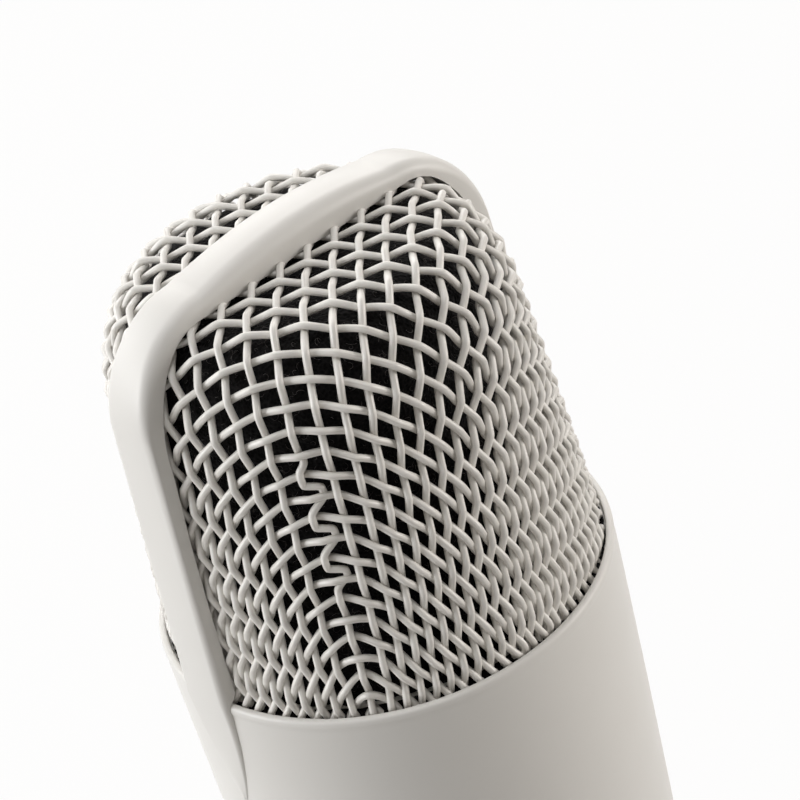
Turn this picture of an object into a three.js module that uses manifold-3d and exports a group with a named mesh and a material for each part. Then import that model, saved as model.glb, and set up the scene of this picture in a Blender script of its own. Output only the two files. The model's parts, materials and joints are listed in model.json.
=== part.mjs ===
// Desktop microphone on a round weighted stand, in millimetres.
// The table is z = 0, the front is -Y and +Z is up.
import * as THREE from "three";
import { mergeVertices } from "three/addons/utils/BufferGeometryUtils.js";
import Module from "manifold-3d";

const wasm = await Module();
wasm.setup();

// Facets round a turned piece: large, middle and small.
const ROUND_LARGE = 36;
const ROUND_MIDDLE = 24;
const ROUND_SMALL = 12;
const ROUND_GRILLE = 24;
// Clearances and how far a cutter runs past a face.
const WELD = 0.001;
const FIT_GAP = 0.3;
const SEAT_GAP = 0.05;
const RUNNING_GAP = 0.1;
const CUT_PAST = 1;

// Weighted base and its rubber ring.
const FOOT_RING_INNER = 44;
const FOOT_RING_OUTER = 57;
const FOOT_RING_HEIGHT = 3;
const FOOT_GROOVE_DEPTH = 1;
const BASE_RADIUS = 60;
const BASE_EDGE_CHAMFER = 1.5;
const BASE_EDGE_HEIGHT = 5;
const BASE_SHOULDER_INSET = 2.6;
const BASE_SHOULDER_HEIGHT = 7.2;
const BASE_DOME_RADIUS = 36;
const BASE_DOME_HEIGHT = 10.2;
const BASE_BOSS_RADIUS = 13;
const BASE_HEIGHT = 12;
const BASE_RECESS_RADIUS = 9.5;
const BASE_RECESS_DEPTH = 6;
const BASE_BOLT_RADIUS = 4;
const BASE_BOLT_HEAD_RADIUS = 6.5;
const BASE_BOLT_HEAD_HEIGHT = 4;
const BASE_BOLT_GRIP = 13;
const BASE_BOLT_KEY_RADIUS = 2.9;
const BASE_BOLT_KEY_DEPTH = 2.2;
const BASE_WASHER_RADIUS = 8.5;
const BASE_WASHER_HEIGHT = 1.2;

// Upright post with its spigot.
const POST_RADIUS = 8;
const POST_FOOT_RADIUS = 10.5;
const POST_FOOT_HEIGHT = 2.4;
const POST_LENGTH = 50;
const POST_CHAMFER = 0.8;
const SPIGOT_RADIUS = 5;
const SPIGOT_LENGTH = 12;
const SPIGOT_GROOVE_DEPTH = 0.9;
const SPIGOT_GROOVE_HEIGHT = 3.4;
const SPIGOT_GROOVE_RISE = 5;

// Swivel fork, tilt bolt and thumb knob.
const SWIVEL_WASHER_HEIGHT = 0.8;
const FORK_HUB_RADIUS = 10.5;
const FORK_HUB_HEIGHT = 13.2;
const EAR_RADIUS = 9.5;
const EAR_THICKNESS = 4.5;
const TONGUE_RADIUS = 8.5;
const TONGUE_HALF_THICKNESS = 4;
const TONGUE_NECK_HALF = 6;
const TONGUE_CLEARANCE = 0.8;
const SET_SCREW_RADIUS = 1.5;
const SET_SCREW_KEY_RADIUS = 0.8;
const SET_SCREW_KEY_DEPTH = 1.2;
const FRICTION_WASHER_THICKNESS = 0.8;
const FRICTION_WASHER_RADIUS = 8;
const TILT_BOLT_RADIUS = 3;
const TILT_BOLT_HEAD_RADIUS = 6;
const TILT_BOLT_HEAD_LENGTH = 3.6;
const TILT_BOLT_KEY_RADIUS = 2.3;
const TILT_BOLT_KEY_DEPTH = 1.8;
const TILT_BOLT_REACH = 8;
const KNOB_STANDOFF = 0.4;
const TILT_KNOB_RADIUS = 9.7;
const TILT_KNOB_HUB_RADIUS = 6.4;
const TILT_KNOB_HUB_LENGTH = 2.2;
const TILT_KNOB_LENGTH = 12;
const TILT_KNOB_CHAMFER = 1.2;
const TILT_KNOB_FLUTES = 9;
const TILT_KNOB_FLUTE_RADIUS = 1.7;
const KNOB_BORE_SPARE = 1.2;

// Bracket under the microphone with its stud and nut.
const FLANGE_CLEARANCE = 0.7;
const FLANGE_RADIUS = 15;
const FLANGE_THICKNESS = 3;
const STUD_RADIUS = 5;
const NUT_RADIUS = 9;
const NUT_HEIGHT = 5;
const NUT_SIDES = 6;

// Round body: depth under the rim and outer radius, from the rim down.
const BODY_DEPTHS = [0, 0.7, 3.2, 9, 15, 25, 45, 75, 106, 108];
const BODY_RADII = [25.7, 26, 25.95, 25.87, 25.78, 25.62, 25.2, 24.2, 22.7, 22.3];
const BODY_WALL = 2.2;
const CAP_FLANGE_HEIGHT = 2;
const CAP_CHAMFER = 0.8;
const CAP_PLUG_HEIGHT = 4.5;
const CAP_SCREW_SPREAD = 17.2;
const CAP_SCREW_DEPTH = 12;

// Cross-slotted small screws.
const SMALL_SCREW_RADIUS = 1.2;
const SMALL_SCREW_HEAD_RADIUS = 2.2;
const SMALL_SCREW_HEAD_HEIGHT = 1.3;
const SMALL_SCREW_SLOT = 0.6;
const SMALL_SCREW_SLOT_DEPTH = 0.7;

// Cast band over the grilles: how far it stands out from the rim and from the grille wall,
// and its height above the rim.
const BAND_RIM_PROUD = 0.55;
const BAND_TOP_PROUD = 1.65;
const BAND_HEIGHT = 45.8;
const BAND_CROWN = 5.4;
const BAND_CORNER_RADIUS = 11.5;
const BAND_WIDTH = 6.7;
const BAND_RIM_WIDTH = 7.1;
const BAND_FLARE_HEIGHT = 21.5;
const BAND_EDGE = 0.8;
const BAND_LEG_STEPS = 8;
const BAND_CORNER_STEPS = 6;
const BAND_TOP_STEPS = 6;
const TONGUE_DEPTH = 15;
const TONGUE_TIP_WIDTH = 1;
const TONGUE_TIP_PROUD = 0.25;
const TONGUE_STEPS = 4;
const SPOKE_WIDTH = 4.4;
const HEAD_RING_HEIGHT = 5;
const HEAD_RING_INNER = 17.5;

// Wire grilles: heights above the rim and outer radii of the wall,
// then how far the rounded shoulder reaches in.
const GRILLE_HEIGHTS = [0, 5, 12, 20, 29];
const GRILLE_RADII = [25, 24.65, 24.1, 23.5, 22.65];
const GRILLE_TOP = 42.35;
const GRILLE_SHOULDER = 8.7;
const GRILLE_SHOULDER_STEPS = 3;
const GRILLE_THICKNESS = 1.2;
const GRILLE_HOLE_PITCH = 10;
const GRILLE_HOLE_SHARE = 0.57;
const GRILLE_FIRST_ROW = 4.6;
const GRILLE_EDGE_MARGIN = 6.4;
const GRILLE_TOP_ROWS = 5;

// Foam lining and the capsule in it.
const FOAM_THICKNESS = 2;
const FOAM_GAP = 0.5;
const CAPSULE_HEIGHT = 24;
const CAPSULE_RADIUS = 13;
const CAPSULE_HALF_DEPTH = 4.6;
const CAPSULE_WALL = 2.4;
const BACKPLATE_HALF_DEPTH = 2.2;
const BACKPLATE_HOLES = 6;
const BACKPLATE_HOLE_RADIUS = 0.9;
const BACKPLATE_HOLE_RING = 6;
const DIAPHRAGM_THICKNESS = 0.3;
const CLAMP_RING_INNER = 8.8;
const RETAINER_HEIGHT = 2.2;
const ISOLATION_RADIUS = 9;
const ISOLATION_HEIGHT = 3;
const CAPSULE_POST_FOOT_RADIUS = 7;
const CAPSULE_POST_FOOT_HEIGHT = 1.8;
const CAPSULE_POST_RADIUS = 3.4;
const SADDLE_HALF_WIDTH = 6.5;
const SADDLE_HALF_DEPTH = 3.4;
const SADDLE_HEIGHT = 4.4;
const WIRE_RADIUS = 0.7;
const WIRE_BACKSET = 12;
const WIRE_HOLE_RADIUS = 1.4;
const WIRE_STEPS = 10;
const WIRE_SIDES = 6;
const HEAD_SCREW_SPREAD = 19.8;
const HEAD_SCREW_GRIP = 3;

// Board, rails and what the board carries.
const BOARD_FRONT = 1;
const BOARD_THICKNESS = 1.6;
const BOARD_HALF_WIDTH = 15.6;
const BOARD_END_MARGIN = 3;
const RAIL_INNER = 14.4;
const RAIL_OUTER = 18.9;
const RAIL_HALF_DEPTH = 3.2;
const RAIL_TUBE_RADIUS = 2.6;
const CHIP_HALF = 3.5;
const CHIP_HEIGHT = 1.2;
const CHIP_RISE = 62;
const SHIELD_HALF_WIDTH = 9;
const SHIELD_HALF_LENGTH = 8;
const SHIELD_HEIGHT = 5;
const SHIELD_ABOVE_CHIP = 8.5;

// Controls on the front.
const VOLUME_DEPTH = 64;
const ENCODER_HALF = 6;
const ENCODER_LENGTH = 8;
const BUSHING_RADIUS = 4.4;
const BUSHING_LENGTH = 6;
const SHAFT_RADIUS = 3;
const SHAFT_REACH = 6.5;
const VOLUME_KNOB_RADIUS = 8.6;
const VOLUME_KNOB_LENGTH = 9;
const VOLUME_KNOB_CHAMFER = 1;
const VOLUME_KNOB_FLUTES = 18;
const VOLUME_KNOB_FLUTE_RADIUS = 0.55;
const POINTER_WIDTH = 1;
const POINTER_DEPTH = 0.4;
const MUTE_DEPTH = 38;
const MUTE_RADIUS = 4.6;
const MUTE_PROUD = 1.6;
const MUTE_CHAMFER = 0.5;
const MUTE_COLLAR_RADIUS = 5.8;
const MUTE_COLLAR_THICKNESS = 1.2;
const MUTE_COLLAR_GAP = 0.9;
const MUTE_STEM_RADIUS = 1.7;
const MUTE_TRAVEL = 1.2;
const SWITCH_HALF = 4;
const SWITCH_LENGTH = 9;
const LIGHT_DEPTH = 27;
const LIGHT_RADIUS = 1.3;
const LIGHT_PROUD = 0.2;
const LED_HALF = 1.6;
const LED_LENGTH = 2;

// Sockets on the back.
const JACK_RISE = 34;
const JACK_HALF = 4.6;
const JACK_BODY_END = 16;
const JACK_NOSE_RADIUS = 4;
const JACK_BORE_RADIUS = 1.8;
const JACK_BORE_DEPTH = 14;
const USB_RISE = 17;
const USB_HALF_WIDTH = 4.5;
const USB_HALF_HEIGHT = 1.7;
const USB_WALL = 0.35;
const USB_DEPTH = 6.5;
const USB_BLADE_HALF_WIDTH = 3.3;
const USB_BLADE_HALF_HEIGHT = 0.35;
const USB_BLADE_LENGTH = 5;
const USB_BODY_HALF = 5.5;
const USB_BODY_END = 12;
const SOCKET_PROUD = 0.2;

// Half widths of the band, and heights above the table, that follow from the sizes above.
const GRILLE_WALL_HEIGHT = GRILLE_HEIGHTS[GRILLE_HEIGHTS.length - 1];
const SHOULDER_CENTRE = GRILLE_RADII[GRILLE_RADII.length - 1] - GRILLE_SHOULDER;
const BAND_RIM_HALF = BODY_RADII[1] + BAND_RIM_PROUD;
const BAND_TOP_HALF = GRILLE_RADII[GRILLE_RADII.length - 1] + BAND_TOP_PROUD;
const BASE_BOTTOM = FOOT_RING_HEIGHT - FOOT_GROOVE_DEPTH;
const BASE_TOP = BASE_BOTTOM + BASE_HEIGHT;
const RECESS_TOP = BASE_BOTTOM + BASE_RECESS_DEPTH;
const POST_TOP = BASE_TOP + POST_LENGTH;
const FORK_BOTTOM = POST_TOP + SWIVEL_WASHER_HEIGHT;
const FORK_FLOOR = FORK_BOTTOM + FORK_HUB_HEIGHT;
const PIVOT_Z = FORK_FLOOR + TONGUE_RADIUS + TONGUE_CLEARANCE;
const FLANGE_BOTTOM = PIVOT_Z + EAR_RADIUS + FLANGE_CLEARANCE;
const MIC_BOTTOM = FLANGE_BOTTOM + FLANGE_THICKNESS;
const SHELL_BOTTOM = MIC_BOTTOM + CAP_FLANGE_HEIGHT;
const PLUG_TOP = SHELL_BOTTOM + CAP_PLUG_HEIGHT;
const RIM_Z = SHELL_BOTTOM + BODY_DEPTHS[BODY_DEPTHS.length - 1];
const RETAINER_TOP = RIM_Z - HEAD_RING_HEIGHT - SEAT_GAP;
const RETAINER_BOTTOM = RETAINER_TOP - RETAINER_HEIGHT;
const CAPSULE_Z = RIM_Z + CAPSULE_HEIGHT;
const EAR_INNER = TONGUE_HALF_THICKNESS + FRICTION_WASHER_THICKNESS;
const EAR_OUTER = EAR_INNER + EAR_THICKNESS;
const SET_SCREW_Z = POST_TOP + SPIGOT_GROOVE_RISE + SPIGOT_GROOVE_HEIGHT / 2;
const BOARD_BACK = BOARD_FRONT + BOARD_THICKNESS;
const BOARD_BOTTOM = PLUG_TOP + NUT_HEIGHT + BOARD_END_MARGIN;
const BOARD_TOP = RETAINER_BOTTOM - BOARD_END_MARGIN;
const SHELL_CEILING_INNER = BODY_RADII[BODY_RADII.length - 1] - BODY_WALL;

// Finishes: colour, roughness and metalness.
const FINISHES = {
  satin_paint: [0xdcdad6, 0.42, 0.1],
  grille_paint: [0xcfccc6, 0.45, 0.25],
  foam: [0x171415, 0.95, 0],
  brass: [0xb08d4a, 0.35, 0.9],
  steel: [0xa9abae, 0.35, 0.9],
  dark_metal: [0x3b3c3f, 0.4, 0.8],
  black_plastic: [0x1b1b1d, 0.5, 0],
  grey_plastic: [0x8f908f, 0.5, 0],
  film: [0xd9b65c, 0.25, 0.8],
  rubber: [0x202022, 0.85, 0],
  board: [0x1f5a38, 0.5, 0],
  lens: [0x7fd68b, 0.2, 0],
};

// A closed geometry as a solid that the cutting library can work on, with its faces outwards.
function solid(geometry) {
  const bare = geometry.index ? geometry.toNonIndexed() : geometry.clone();
  bare.deleteAttribute("normal");
  bare.deleteAttribute("uv");
  const welded = mergeVertices(bare, WELD);
  const index = welded.index.array;
  const kept = [];
  for (let i = 0; i < index.length; i += 3) {
    const [a, b, c] = [index[i], index[i + 1], index[i + 2]];
    if (a !== b && b !== c && c !== a) kept.push(a, b, c);
  }
  const build = (triangles) =>
    new wasm.Manifold(
      new wasm.Mesh({
        numProp: 3,
        vertProperties: new Float32Array(welded.attributes.position.array),
        triVerts: new Uint32Array(triangles),
      }),
    );
  const made = build(kept);
  return made.volume() < 0 ? build(kept.reverse()) : made;
}

// A solid as a mesh with a name and a finish.
function piece(name, made, finish) {
  const data = made.getMesh();
  const geometry = new THREE.BufferGeometry();
  geometry.setAttribute("position", new THREE.BufferAttribute(new Float32Array(data.vertProperties), 3));
  geometry.setIndex(new THREE.BufferAttribute(new Uint32Array(data.triVerts), 1));
  geometry.computeVertexNormals();
  const [color, roughness, metalness] = FINISHES[finish];
  const material = new THREE.MeshStandardMaterial({ color, roughness, metalness });
  material.name = finish;
  const mesh = new THREE.Mesh(geometry, material);
  mesh.name = name;
  return mesh;
}

// A profile of [radius, height] pairs turned about the upright axis.
function turned(profile, sides) {
  const points = profile.map(([r, z]) => new THREE.Vector2(r, z));
  return new THREE.LatheGeometry(points, sides).rotateX(Math.PI / 2);
}

function disc(radius, low, high, sides) {
  return turned([[0, low], [radius, low], [radius, high], [0, high]], sides);
}

function ring(inner, outer, low, high, sides) {
  return turned([[inner, low], [outer, low], [outer, high], [inner, high], [inner, low]], sides);
}

function block(x0, x1, y0, y1, z0, z1) {
  const shape = new THREE.BoxGeometry(x1 - x0, y1 - y0, z1 - z0);
  return shape.translate((x0 + x1) / 2, (y0 + y1) / 2, (z0 + z1) / 2);
}

// Upright pieces laid along X, or along Y with their top towards the back.
function alongX(geometry, y, z) {
  return geometry.rotateY(Math.PI / 2).translate(0, y, z);
}

function alongY(geometry, x, z) {
  return geometry.rotateX(-Math.PI / 2).translate(x, 0, z);
}

// Value of a table at a place between its stations.
function between(places, values, at) {
  let i = 1;
  while (i < places.length - 1 && places[i] < at) i += 1;
  const share = (at - places[i - 1]) / (places[i] - places[i - 1]);
  return values[i - 1] + (values[i] - values[i - 1]) * Math.min(Math.max(share, 0), 1);
}

function bodyRadius(z) {
  return between(BODY_DEPTHS, BODY_RADII, RIM_Z - z);
}

function grilleRadius(rise) {
  return between(GRILLE_HEIGHTS, GRILLE_RADII, rise);
}

// Point on the grille's shoulder, a quarter ellipse from the wall to the flat top, moved out by an offset.
function shoulderPoint(turn, offset) {
  return [
    SHOULDER_CENTRE + (GRILLE_SHOULDER + offset) * Math.cos(turn),
    GRILLE_WALL_HEIGHT + (GRILLE_TOP - GRILLE_WALL_HEIGHT + offset) * Math.sin(turn),
  ];
}

// Grille outline from the rim to the axis, drawn in by an offset.
function grilleProfile(inset, bottom) {
  const last = GRILLE_HEIGHTS.length - 1;
  const profile = [[0, RIM_Z + bottom], [grilleRadius(bottom) - inset, RIM_Z + bottom]];
  for (let i = 1; i <= last; i += 1) {
    profile.push([GRILLE_RADII[i] - inset, RIM_Z + GRILLE_HEIGHTS[i]]);
  }
  for (let i = 1; i <= GRILLE_SHOULDER_STEPS; i += 1) {
    const [radius, rise] = shoulderPoint((i / GRILLE_SHOULDER_STEPS) * (Math.PI / 2), -inset);
    profile.push([radius, RIM_Z + rise]);
  }
  profile.push([0, RIM_Z + GRILLE_TOP - inset]);
  return profile;
}

// Rings of equal point counts joined into one closed skin with flat ends.
function lofted(rings) {
  const count = rings[0].length;
  const positions = [];
  const face = (a, b, c) => positions.push(...a, ...b, ...c);
  for (let i = 0; i + 1 < rings.length; i += 1) {
    for (let j = 0; j < count; j += 1) {
      const k = (j + 1) % count;
      face(rings[i][j], rings[i][k], rings[i + 1][k]);
      face(rings[i][j], rings[i + 1][k], rings[i + 1][j]);
    }
  }
  const last = rings[rings.length - 1];
  for (let j = 1; j + 1 < count; j += 1) {
    face(rings[0][0], rings[0][j + 1], rings[0][j]);
    face(last[0], last[j], last[j + 1]);
  }
  const geometry = new THREE.BufferGeometry();
  geometry.setAttribute("position", new THREE.Float32BufferAttribute(positions, 3));
  return geometry;
}

// Outer and inner points of the band from the left tongue tip over the top, and its width there.
function bandStations() {
  const right = [];
  for (let i = 0; i <= TONGUE_STEPS; i += 1) {
    const share = i / TONGUE_STEPS;
    const z = RIM_Z - TONGUE_DEPTH * (1 - share);
    const inner = bodyRadius(z) + SEAT_GAP;
    const proud = TONGUE_TIP_PROUD + (BAND_RIM_HALF - BODY_RADII[1] - TONGUE_TIP_PROUD) * share;
    const width = TONGUE_TIP_WIDTH + (BAND_RIM_WIDTH - TONGUE_TIP_WIDTH) * share;
    if (i < TONGUE_STEPS) right.push({ outer: [inner + proud, z], inner: [inner, z], width });
  }
  const cornerX = BAND_TOP_HALF - BAND_CORNER_RADIUS;
  const edgeTop = BAND_HEIGHT - BAND_CROWN * (cornerX / BAND_TOP_HALF) ** 2;
  const cornerZ = edgeTop - BAND_CORNER_RADIUS;
  for (let i = 0; i <= BAND_LEG_STEPS; i += 1) {
    const share = i / BAND_LEG_STEPS;
    const rise = cornerZ * share;
    const half = BAND_RIM_HALF + (BAND_TOP_HALF - BAND_RIM_HALF) * share;
    const flare = Math.max(0, 1 - rise / BAND_FLARE_HEIGHT);
    const innerRise = GRILLE_WALL_HEIGHT * share;
    const inner = i === 0 ? BODY_RADII[1] + SEAT_GAP : grilleRadius(innerRise) + FIT_GAP;
    right.push({
      outer: [half, RIM_Z + rise + (i === 0 ? SEAT_GAP : 0)],
      inner: [inner, RIM_Z + innerRise + (i === 0 ? SEAT_GAP : 0)],
      width: BAND_WIDTH + (BAND_RIM_WIDTH - BAND_WIDTH) * flare ** 2,
    });
  }
  for (let i = 1; i <= BAND_CORNER_STEPS; i += 1) {
    const turn = (i / BAND_CORNER_STEPS) * (Math.PI / 2);
    const [radius, rise] = shoulderPoint(turn, FIT_GAP);
    right.push({
      outer: [
        cornerX + BAND_CORNER_RADIUS * Math.cos(turn),
        RIM_Z + cornerZ + BAND_CORNER_RADIUS * Math.sin(turn),
      ],
      inner: [radius, RIM_Z + rise],
      width: BAND_WIDTH,
    });
  }
  for (let i = 1; i < BAND_TOP_STEPS; i += 1) {
    const share = 1 - i / BAND_TOP_STEPS;
    const x = cornerX * share;
    const innerX = SHOULDER_CENTRE * share;
    right.push({
      outer: [x, RIM_Z + BAND_HEIGHT - BAND_CROWN * (x / BAND_TOP_HALF) ** 2],
      inner: [innerX, RIM_Z + GRILLE_TOP + FIT_GAP],
      width: BAND_WIDTH,
    });
  }
  const crown = {
    outer: [0, RIM_Z + BAND_HEIGHT],
    inner: [0, RIM_Z + GRILLE_TOP + FIT_GAP],
    width: BAND_WIDTH,
  };
  const mirrored = right.map((s) => ({
    outer: [-s.outer[0], s.outer[1]],
    inner: [-s.inner[0], s.inner[1]],
    width: s.width,
  }));
  return [...right, crown, ...mirrored.reverse()];
}

// Section of the band at a station: a rectangle with its two outer edges broken.
function bandSection({ outer, inner, width }) {
  const half = width / 2;
  const depth = Math.hypot(outer[0] - inner[0], outer[1] - inner[1]);
  const edge = Math.min(BAND_EDGE, depth / 2, half / 2);
  const share = edge / depth;
  const lowX = outer[0] + (inner[0] - outer[0]) * share;
  const lowZ = outer[1] + (inner[1] - outer[1]) * share;
  return [
    [inner[0], -half, inner[1]],
    [lowX, -half, lowZ],
    [outer[0], -half + edge, outer[1]],
    [outer[0], half - edge, outer[1]],
    [lowX, half, lowZ],
    [inner[0], half, inner[1]],
  ];
}

function headFrame() {
  const outerRing = bodyRadius(RIM_Z - HEAD_RING_HEIGHT) - BODY_WALL - FIT_GAP;
  const top = RIM_Z - SEAT_GAP;
  const spokes = block(
    -BODY_RADII[1] - FIT_GAP * 2,
    BODY_RADII[1] + FIT_GAP * 2,
    -SPOKE_WIDTH / 2,
    SPOKE_WIDTH / 2,
    RIM_Z - HEAD_RING_HEIGHT,
    top,
  );
  const hollow = disc(HEAD_RING_INNER, RIM_Z - HEAD_RING_HEIGHT - CUT_PAST, RIM_Z + CUT_PAST, ROUND_LARGE);
  let made = solid(ring(HEAD_RING_INNER - FIT_GAP, outerRing, RIM_Z - HEAD_RING_HEIGHT, top, ROUND_LARGE));
  made = made.add(solid(spokes)).subtract(solid(hollow));
  made = made.add(solid(lofted(bandStations().map(bandSection))));
  for (const side of [-1, 1]) {
    const low = RIM_Z - HEAD_RING_HEIGHT - CUT_PAST;
    const hole = disc(SMALL_SCREW_RADIUS + RUNNING_GAP, low, top - CUT_PAST, ROUND_SMALL);
    made = made.subtract(solid(hole.translate(0, side * HEAD_SCREW_SPREAD, 0)));
  }
  return piece("head_frame", made, "satin_paint");
}

// Square prisms set on a corner, square to the grille surface, for one half shell.
function grilleHoles(side) {
  const holes = [];
  const width = GRILLE_HOLE_PITCH * GRILLE_HOLE_SHARE;
  const cut = (azimuth, radius, height, tilt) => {
    const hole = new THREE.BoxGeometry(GRILLE_THICKNESS * 4, width, width).rotateX(Math.PI / 4);
    hole.rotateY(-tilt).translate(radius, 0, height).rotateZ(azimuth);
    holes.push(solid(hole));
  };
  const high = GRILLE_TOP - GRILLE_WALL_HEIGHT;
  const mean = (GRILLE_SHOULDER + high) / 2;
  const row = GRILLE_HOLE_PITCH / 2;
  const end = GRILLE_WALL_HEIGHT + mean * (Math.PI / 2) - row / 2;
  for (let run = GRILLE_FIRST_ROW, n = 0; run < end; run += row, n += 1) {
    const turn = Math.max(0, run - GRILLE_WALL_HEIGHT) / mean;
    const [middle, rise] = turn > 0 ? shoulderPoint(turn, 0) : [grilleRadius(run), run];
    const tilt = Math.atan2(GRILLE_SHOULDER * Math.sin(turn), high * Math.cos(turn));
    const wide = Math.PI * middle - GRILLE_EDGE_MARGIN * 2;
    const columns = Math.max(2, Math.floor(wide / GRILLE_HOLE_PITCH)) + (n % 2);
    const span = (Math.PI * middle - GRILLE_EDGE_MARGIN * 2) / middle;
    const step = span / (Math.floor(wide / GRILLE_HOLE_PITCH) || 1);
    for (let i = 0; i < columns; i += 1) {
      cut(side * Math.PI / 2 + step * (i - (columns - 1) / 2), middle, RIM_Z + rise, tilt);
    }
  }
  for (let n = 0; n < GRILLE_TOP_ROWS; n += 1) {
    const y = GRILLE_EDGE_MARGIN + row * n;
    const reach = Math.sqrt(Math.max(0, SHOULDER_CENTRE ** 2 - y ** 2));
    const count = Math.floor(reach / GRILLE_HOLE_PITCH - (n % 2) / 2);
    for (let i = -count - (n % 2); i <= count; i += 1) {
      const x = (i + (n % 2) / 2) * GRILLE_HOLE_PITCH;
      if (Math.hypot(x, y) > SHOULDER_CENTRE) continue;
      const hole = new THREE.BoxGeometry(width, width, GRILLE_THICKNESS * 4).rotateZ(Math.PI / 4);
      holes.push(solid(hole.translate(x, side * y, RIM_Z + GRILLE_TOP)));
    }
  }
  return holes;
}

function grille(name, side) {
  const shell = solid(turned(grilleProfile(0, SEAT_GAP), ROUND_GRILLE));
  const hollow = solid(turned(grilleProfile(GRILLE_THICKNESS, -CUT_PAST), ROUND_GRILLE));
  const far = BAND_RIM_HALF + CUT_PAST;
  const y = side > 0 ? [FIT_GAP / 2, far] : [-far, -FIT_GAP / 2];
  const half = solid(block(-far, far, y[0], y[1], RIM_Z - CUT_PAST, RIM_Z + GRILLE_TOP + CUT_PAST));
  let made = shell.subtract(hollow).intersect(half);
  for (const hole of grilleHoles(side)) made = made.subtract(hole);
  return piece(name, made, "grille_paint");
}

function foamLiner() {
  const outer = GRILLE_THICKNESS + FOAM_GAP;
  const shell = solid(turned(grilleProfile(outer, SEAT_GAP), ROUND_MIDDLE));
  const hollow = solid(turned(grilleProfile(outer + FOAM_THICKNESS, -CUT_PAST), ROUND_MIDDLE));
  return piece("foam_liner", shell.subtract(hollow), "foam");
}

function capsuleHousing() {
  const inner = CAPSULE_RADIUS - CAPSULE_WALL;
  const body = ring(inner, CAPSULE_RADIUS, -CAPSULE_HALF_DEPTH, CAPSULE_HALF_DEPTH, ROUND_MIDDLE);
  return piece("capsule_housing", solid(alongY(body, 0, CAPSULE_Z)), "brass");
}

function capsuleBackplate() {
  const radius = CAPSULE_RADIUS - CAPSULE_WALL - RUNNING_GAP;
  const plate = disc(radius, -BACKPLATE_HALF_DEPTH, BACKPLATE_HALF_DEPTH, ROUND_MIDDLE);
  let made = solid(alongY(plate, 0, CAPSULE_Z));
  for (let i = 0; i < BACKPLATE_HOLES; i += 1) {
    const turn = (i / BACKPLATE_HOLES) * Math.PI * 2;
    const reach = BACKPLATE_HALF_DEPTH + CUT_PAST;
    const hole = disc(BACKPLATE_HOLE_RADIUS, -reach, reach, ROUND_SMALL / 2);
    const x = BACKPLATE_HOLE_RING * Math.cos(turn);
    const z = CAPSULE_Z + BACKPLATE_HOLE_RING * Math.sin(turn);
    made = made.subtract(solid(alongY(hole, x, z)));
  }
  return piece("capsule_backplate", made, "brass");
}

// Diaphragm and the ring that clamps it, on the front (-1) or the back (1) of the capsule.
function diaphragm(name, side) {
  const radius = CAPSULE_RADIUS - CAPSULE_WALL - RUNNING_GAP;
  const near = BACKPLATE_HALF_DEPTH + SEAT_GAP;
  const far = near + DIAPHRAGM_THICKNESS;
  const film = disc(
    radius,
    Math.min(side * near, side * far),
    Math.max(side * near, side * far),
    ROUND_MIDDLE,
  );
  return piece(name, solid(alongY(film, 0, CAPSULE_Z)), "film");
}

function clampRing(name, side) {
  const outer = CAPSULE_RADIUS - CAPSULE_WALL - RUNNING_GAP;
  const near = BACKPLATE_HALF_DEPTH + DIAPHRAGM_THICKNESS + SEAT_GAP * 2;
  const far = CAPSULE_HALF_DEPTH - SEAT_GAP;
  const low = Math.min(side * near, side * far);
  const high = Math.max(side * near, side * far);
  const body = ring(CLAMP_RING_INNER, outer, low, high, ROUND_MIDDLE);
  return piece(name, solid(alongY(body, 0, CAPSULE_Z)), "brass");
}

function isolationMount() {
  const low = RETAINER_TOP + SEAT_GAP;
  return piece(
    "isolation_mount",
    solid(disc(ISOLATION_RADIUS, low, low + ISOLATION_HEIGHT, ROUND_MIDDLE)),
    "rubber",
  );
}

function capsulePost() {
  const foot = RETAINER_TOP + ISOLATION_HEIGHT + SEAT_GAP * 2;
  const saddleTop = CAPSULE_Z - CAPSULE_RADIUS + SADDLE_HEIGHT / 2;
  const saddleLow = saddleTop - SADDLE_HEIGHT;
  const base = solid(disc(CAPSULE_POST_FOOT_RADIUS, foot, foot + CAPSULE_POST_FOOT_HEIGHT, ROUND_MIDDLE));
  const stem = solid(disc(CAPSULE_POST_RADIUS, foot, saddleLow + SADDLE_HEIGHT / 4, ROUND_SMALL));
  const saddle = solid(
    block(-SADDLE_HALF_WIDTH, SADDLE_HALF_WIDTH, -SADDLE_HALF_DEPTH, SADDLE_HALF_DEPTH, saddleLow, saddleTop),
  );
  const reach = CAPSULE_HALF_DEPTH + CUT_PAST;
  const seat = solid(alongY(disc(CAPSULE_RADIUS + FIT_GAP, -reach, reach, ROUND_MIDDLE), 0, CAPSULE_Z));
  return piece("capsule_post", base.add(stem).add(saddle).subtract(seat), "black_plastic");
}

function headRetainer() {
  const radius = bodyRadius(RETAINER_BOTTOM) - BODY_WALL - FIT_GAP;
  let made = solid(disc(radius, RETAINER_BOTTOM, RETAINER_TOP, ROUND_LARGE));
  const wireHole = disc(WIRE_HOLE_RADIUS, RETAINER_BOTTOM - CUT_PAST, RETAINER_TOP + CUT_PAST, ROUND_SMALL);
  made = made.subtract(solid(wireHole.translate(0, WIRE_BACKSET, 0)));
  for (const side of [-1, 1]) {
    const hole = disc(
      SMALL_SCREW_RADIUS + RUNNING_GAP,
      RETAINER_BOTTOM - CUT_PAST,
      RETAINER_TOP + CUT_PAST,
      ROUND_SMALL,
    );
    made = made.subtract(solid(hole.translate(0, side * HEAD_SCREW_SPREAD, 0)));
  }
  return piece("head_retainer", made, "dark_metal");
}

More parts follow.
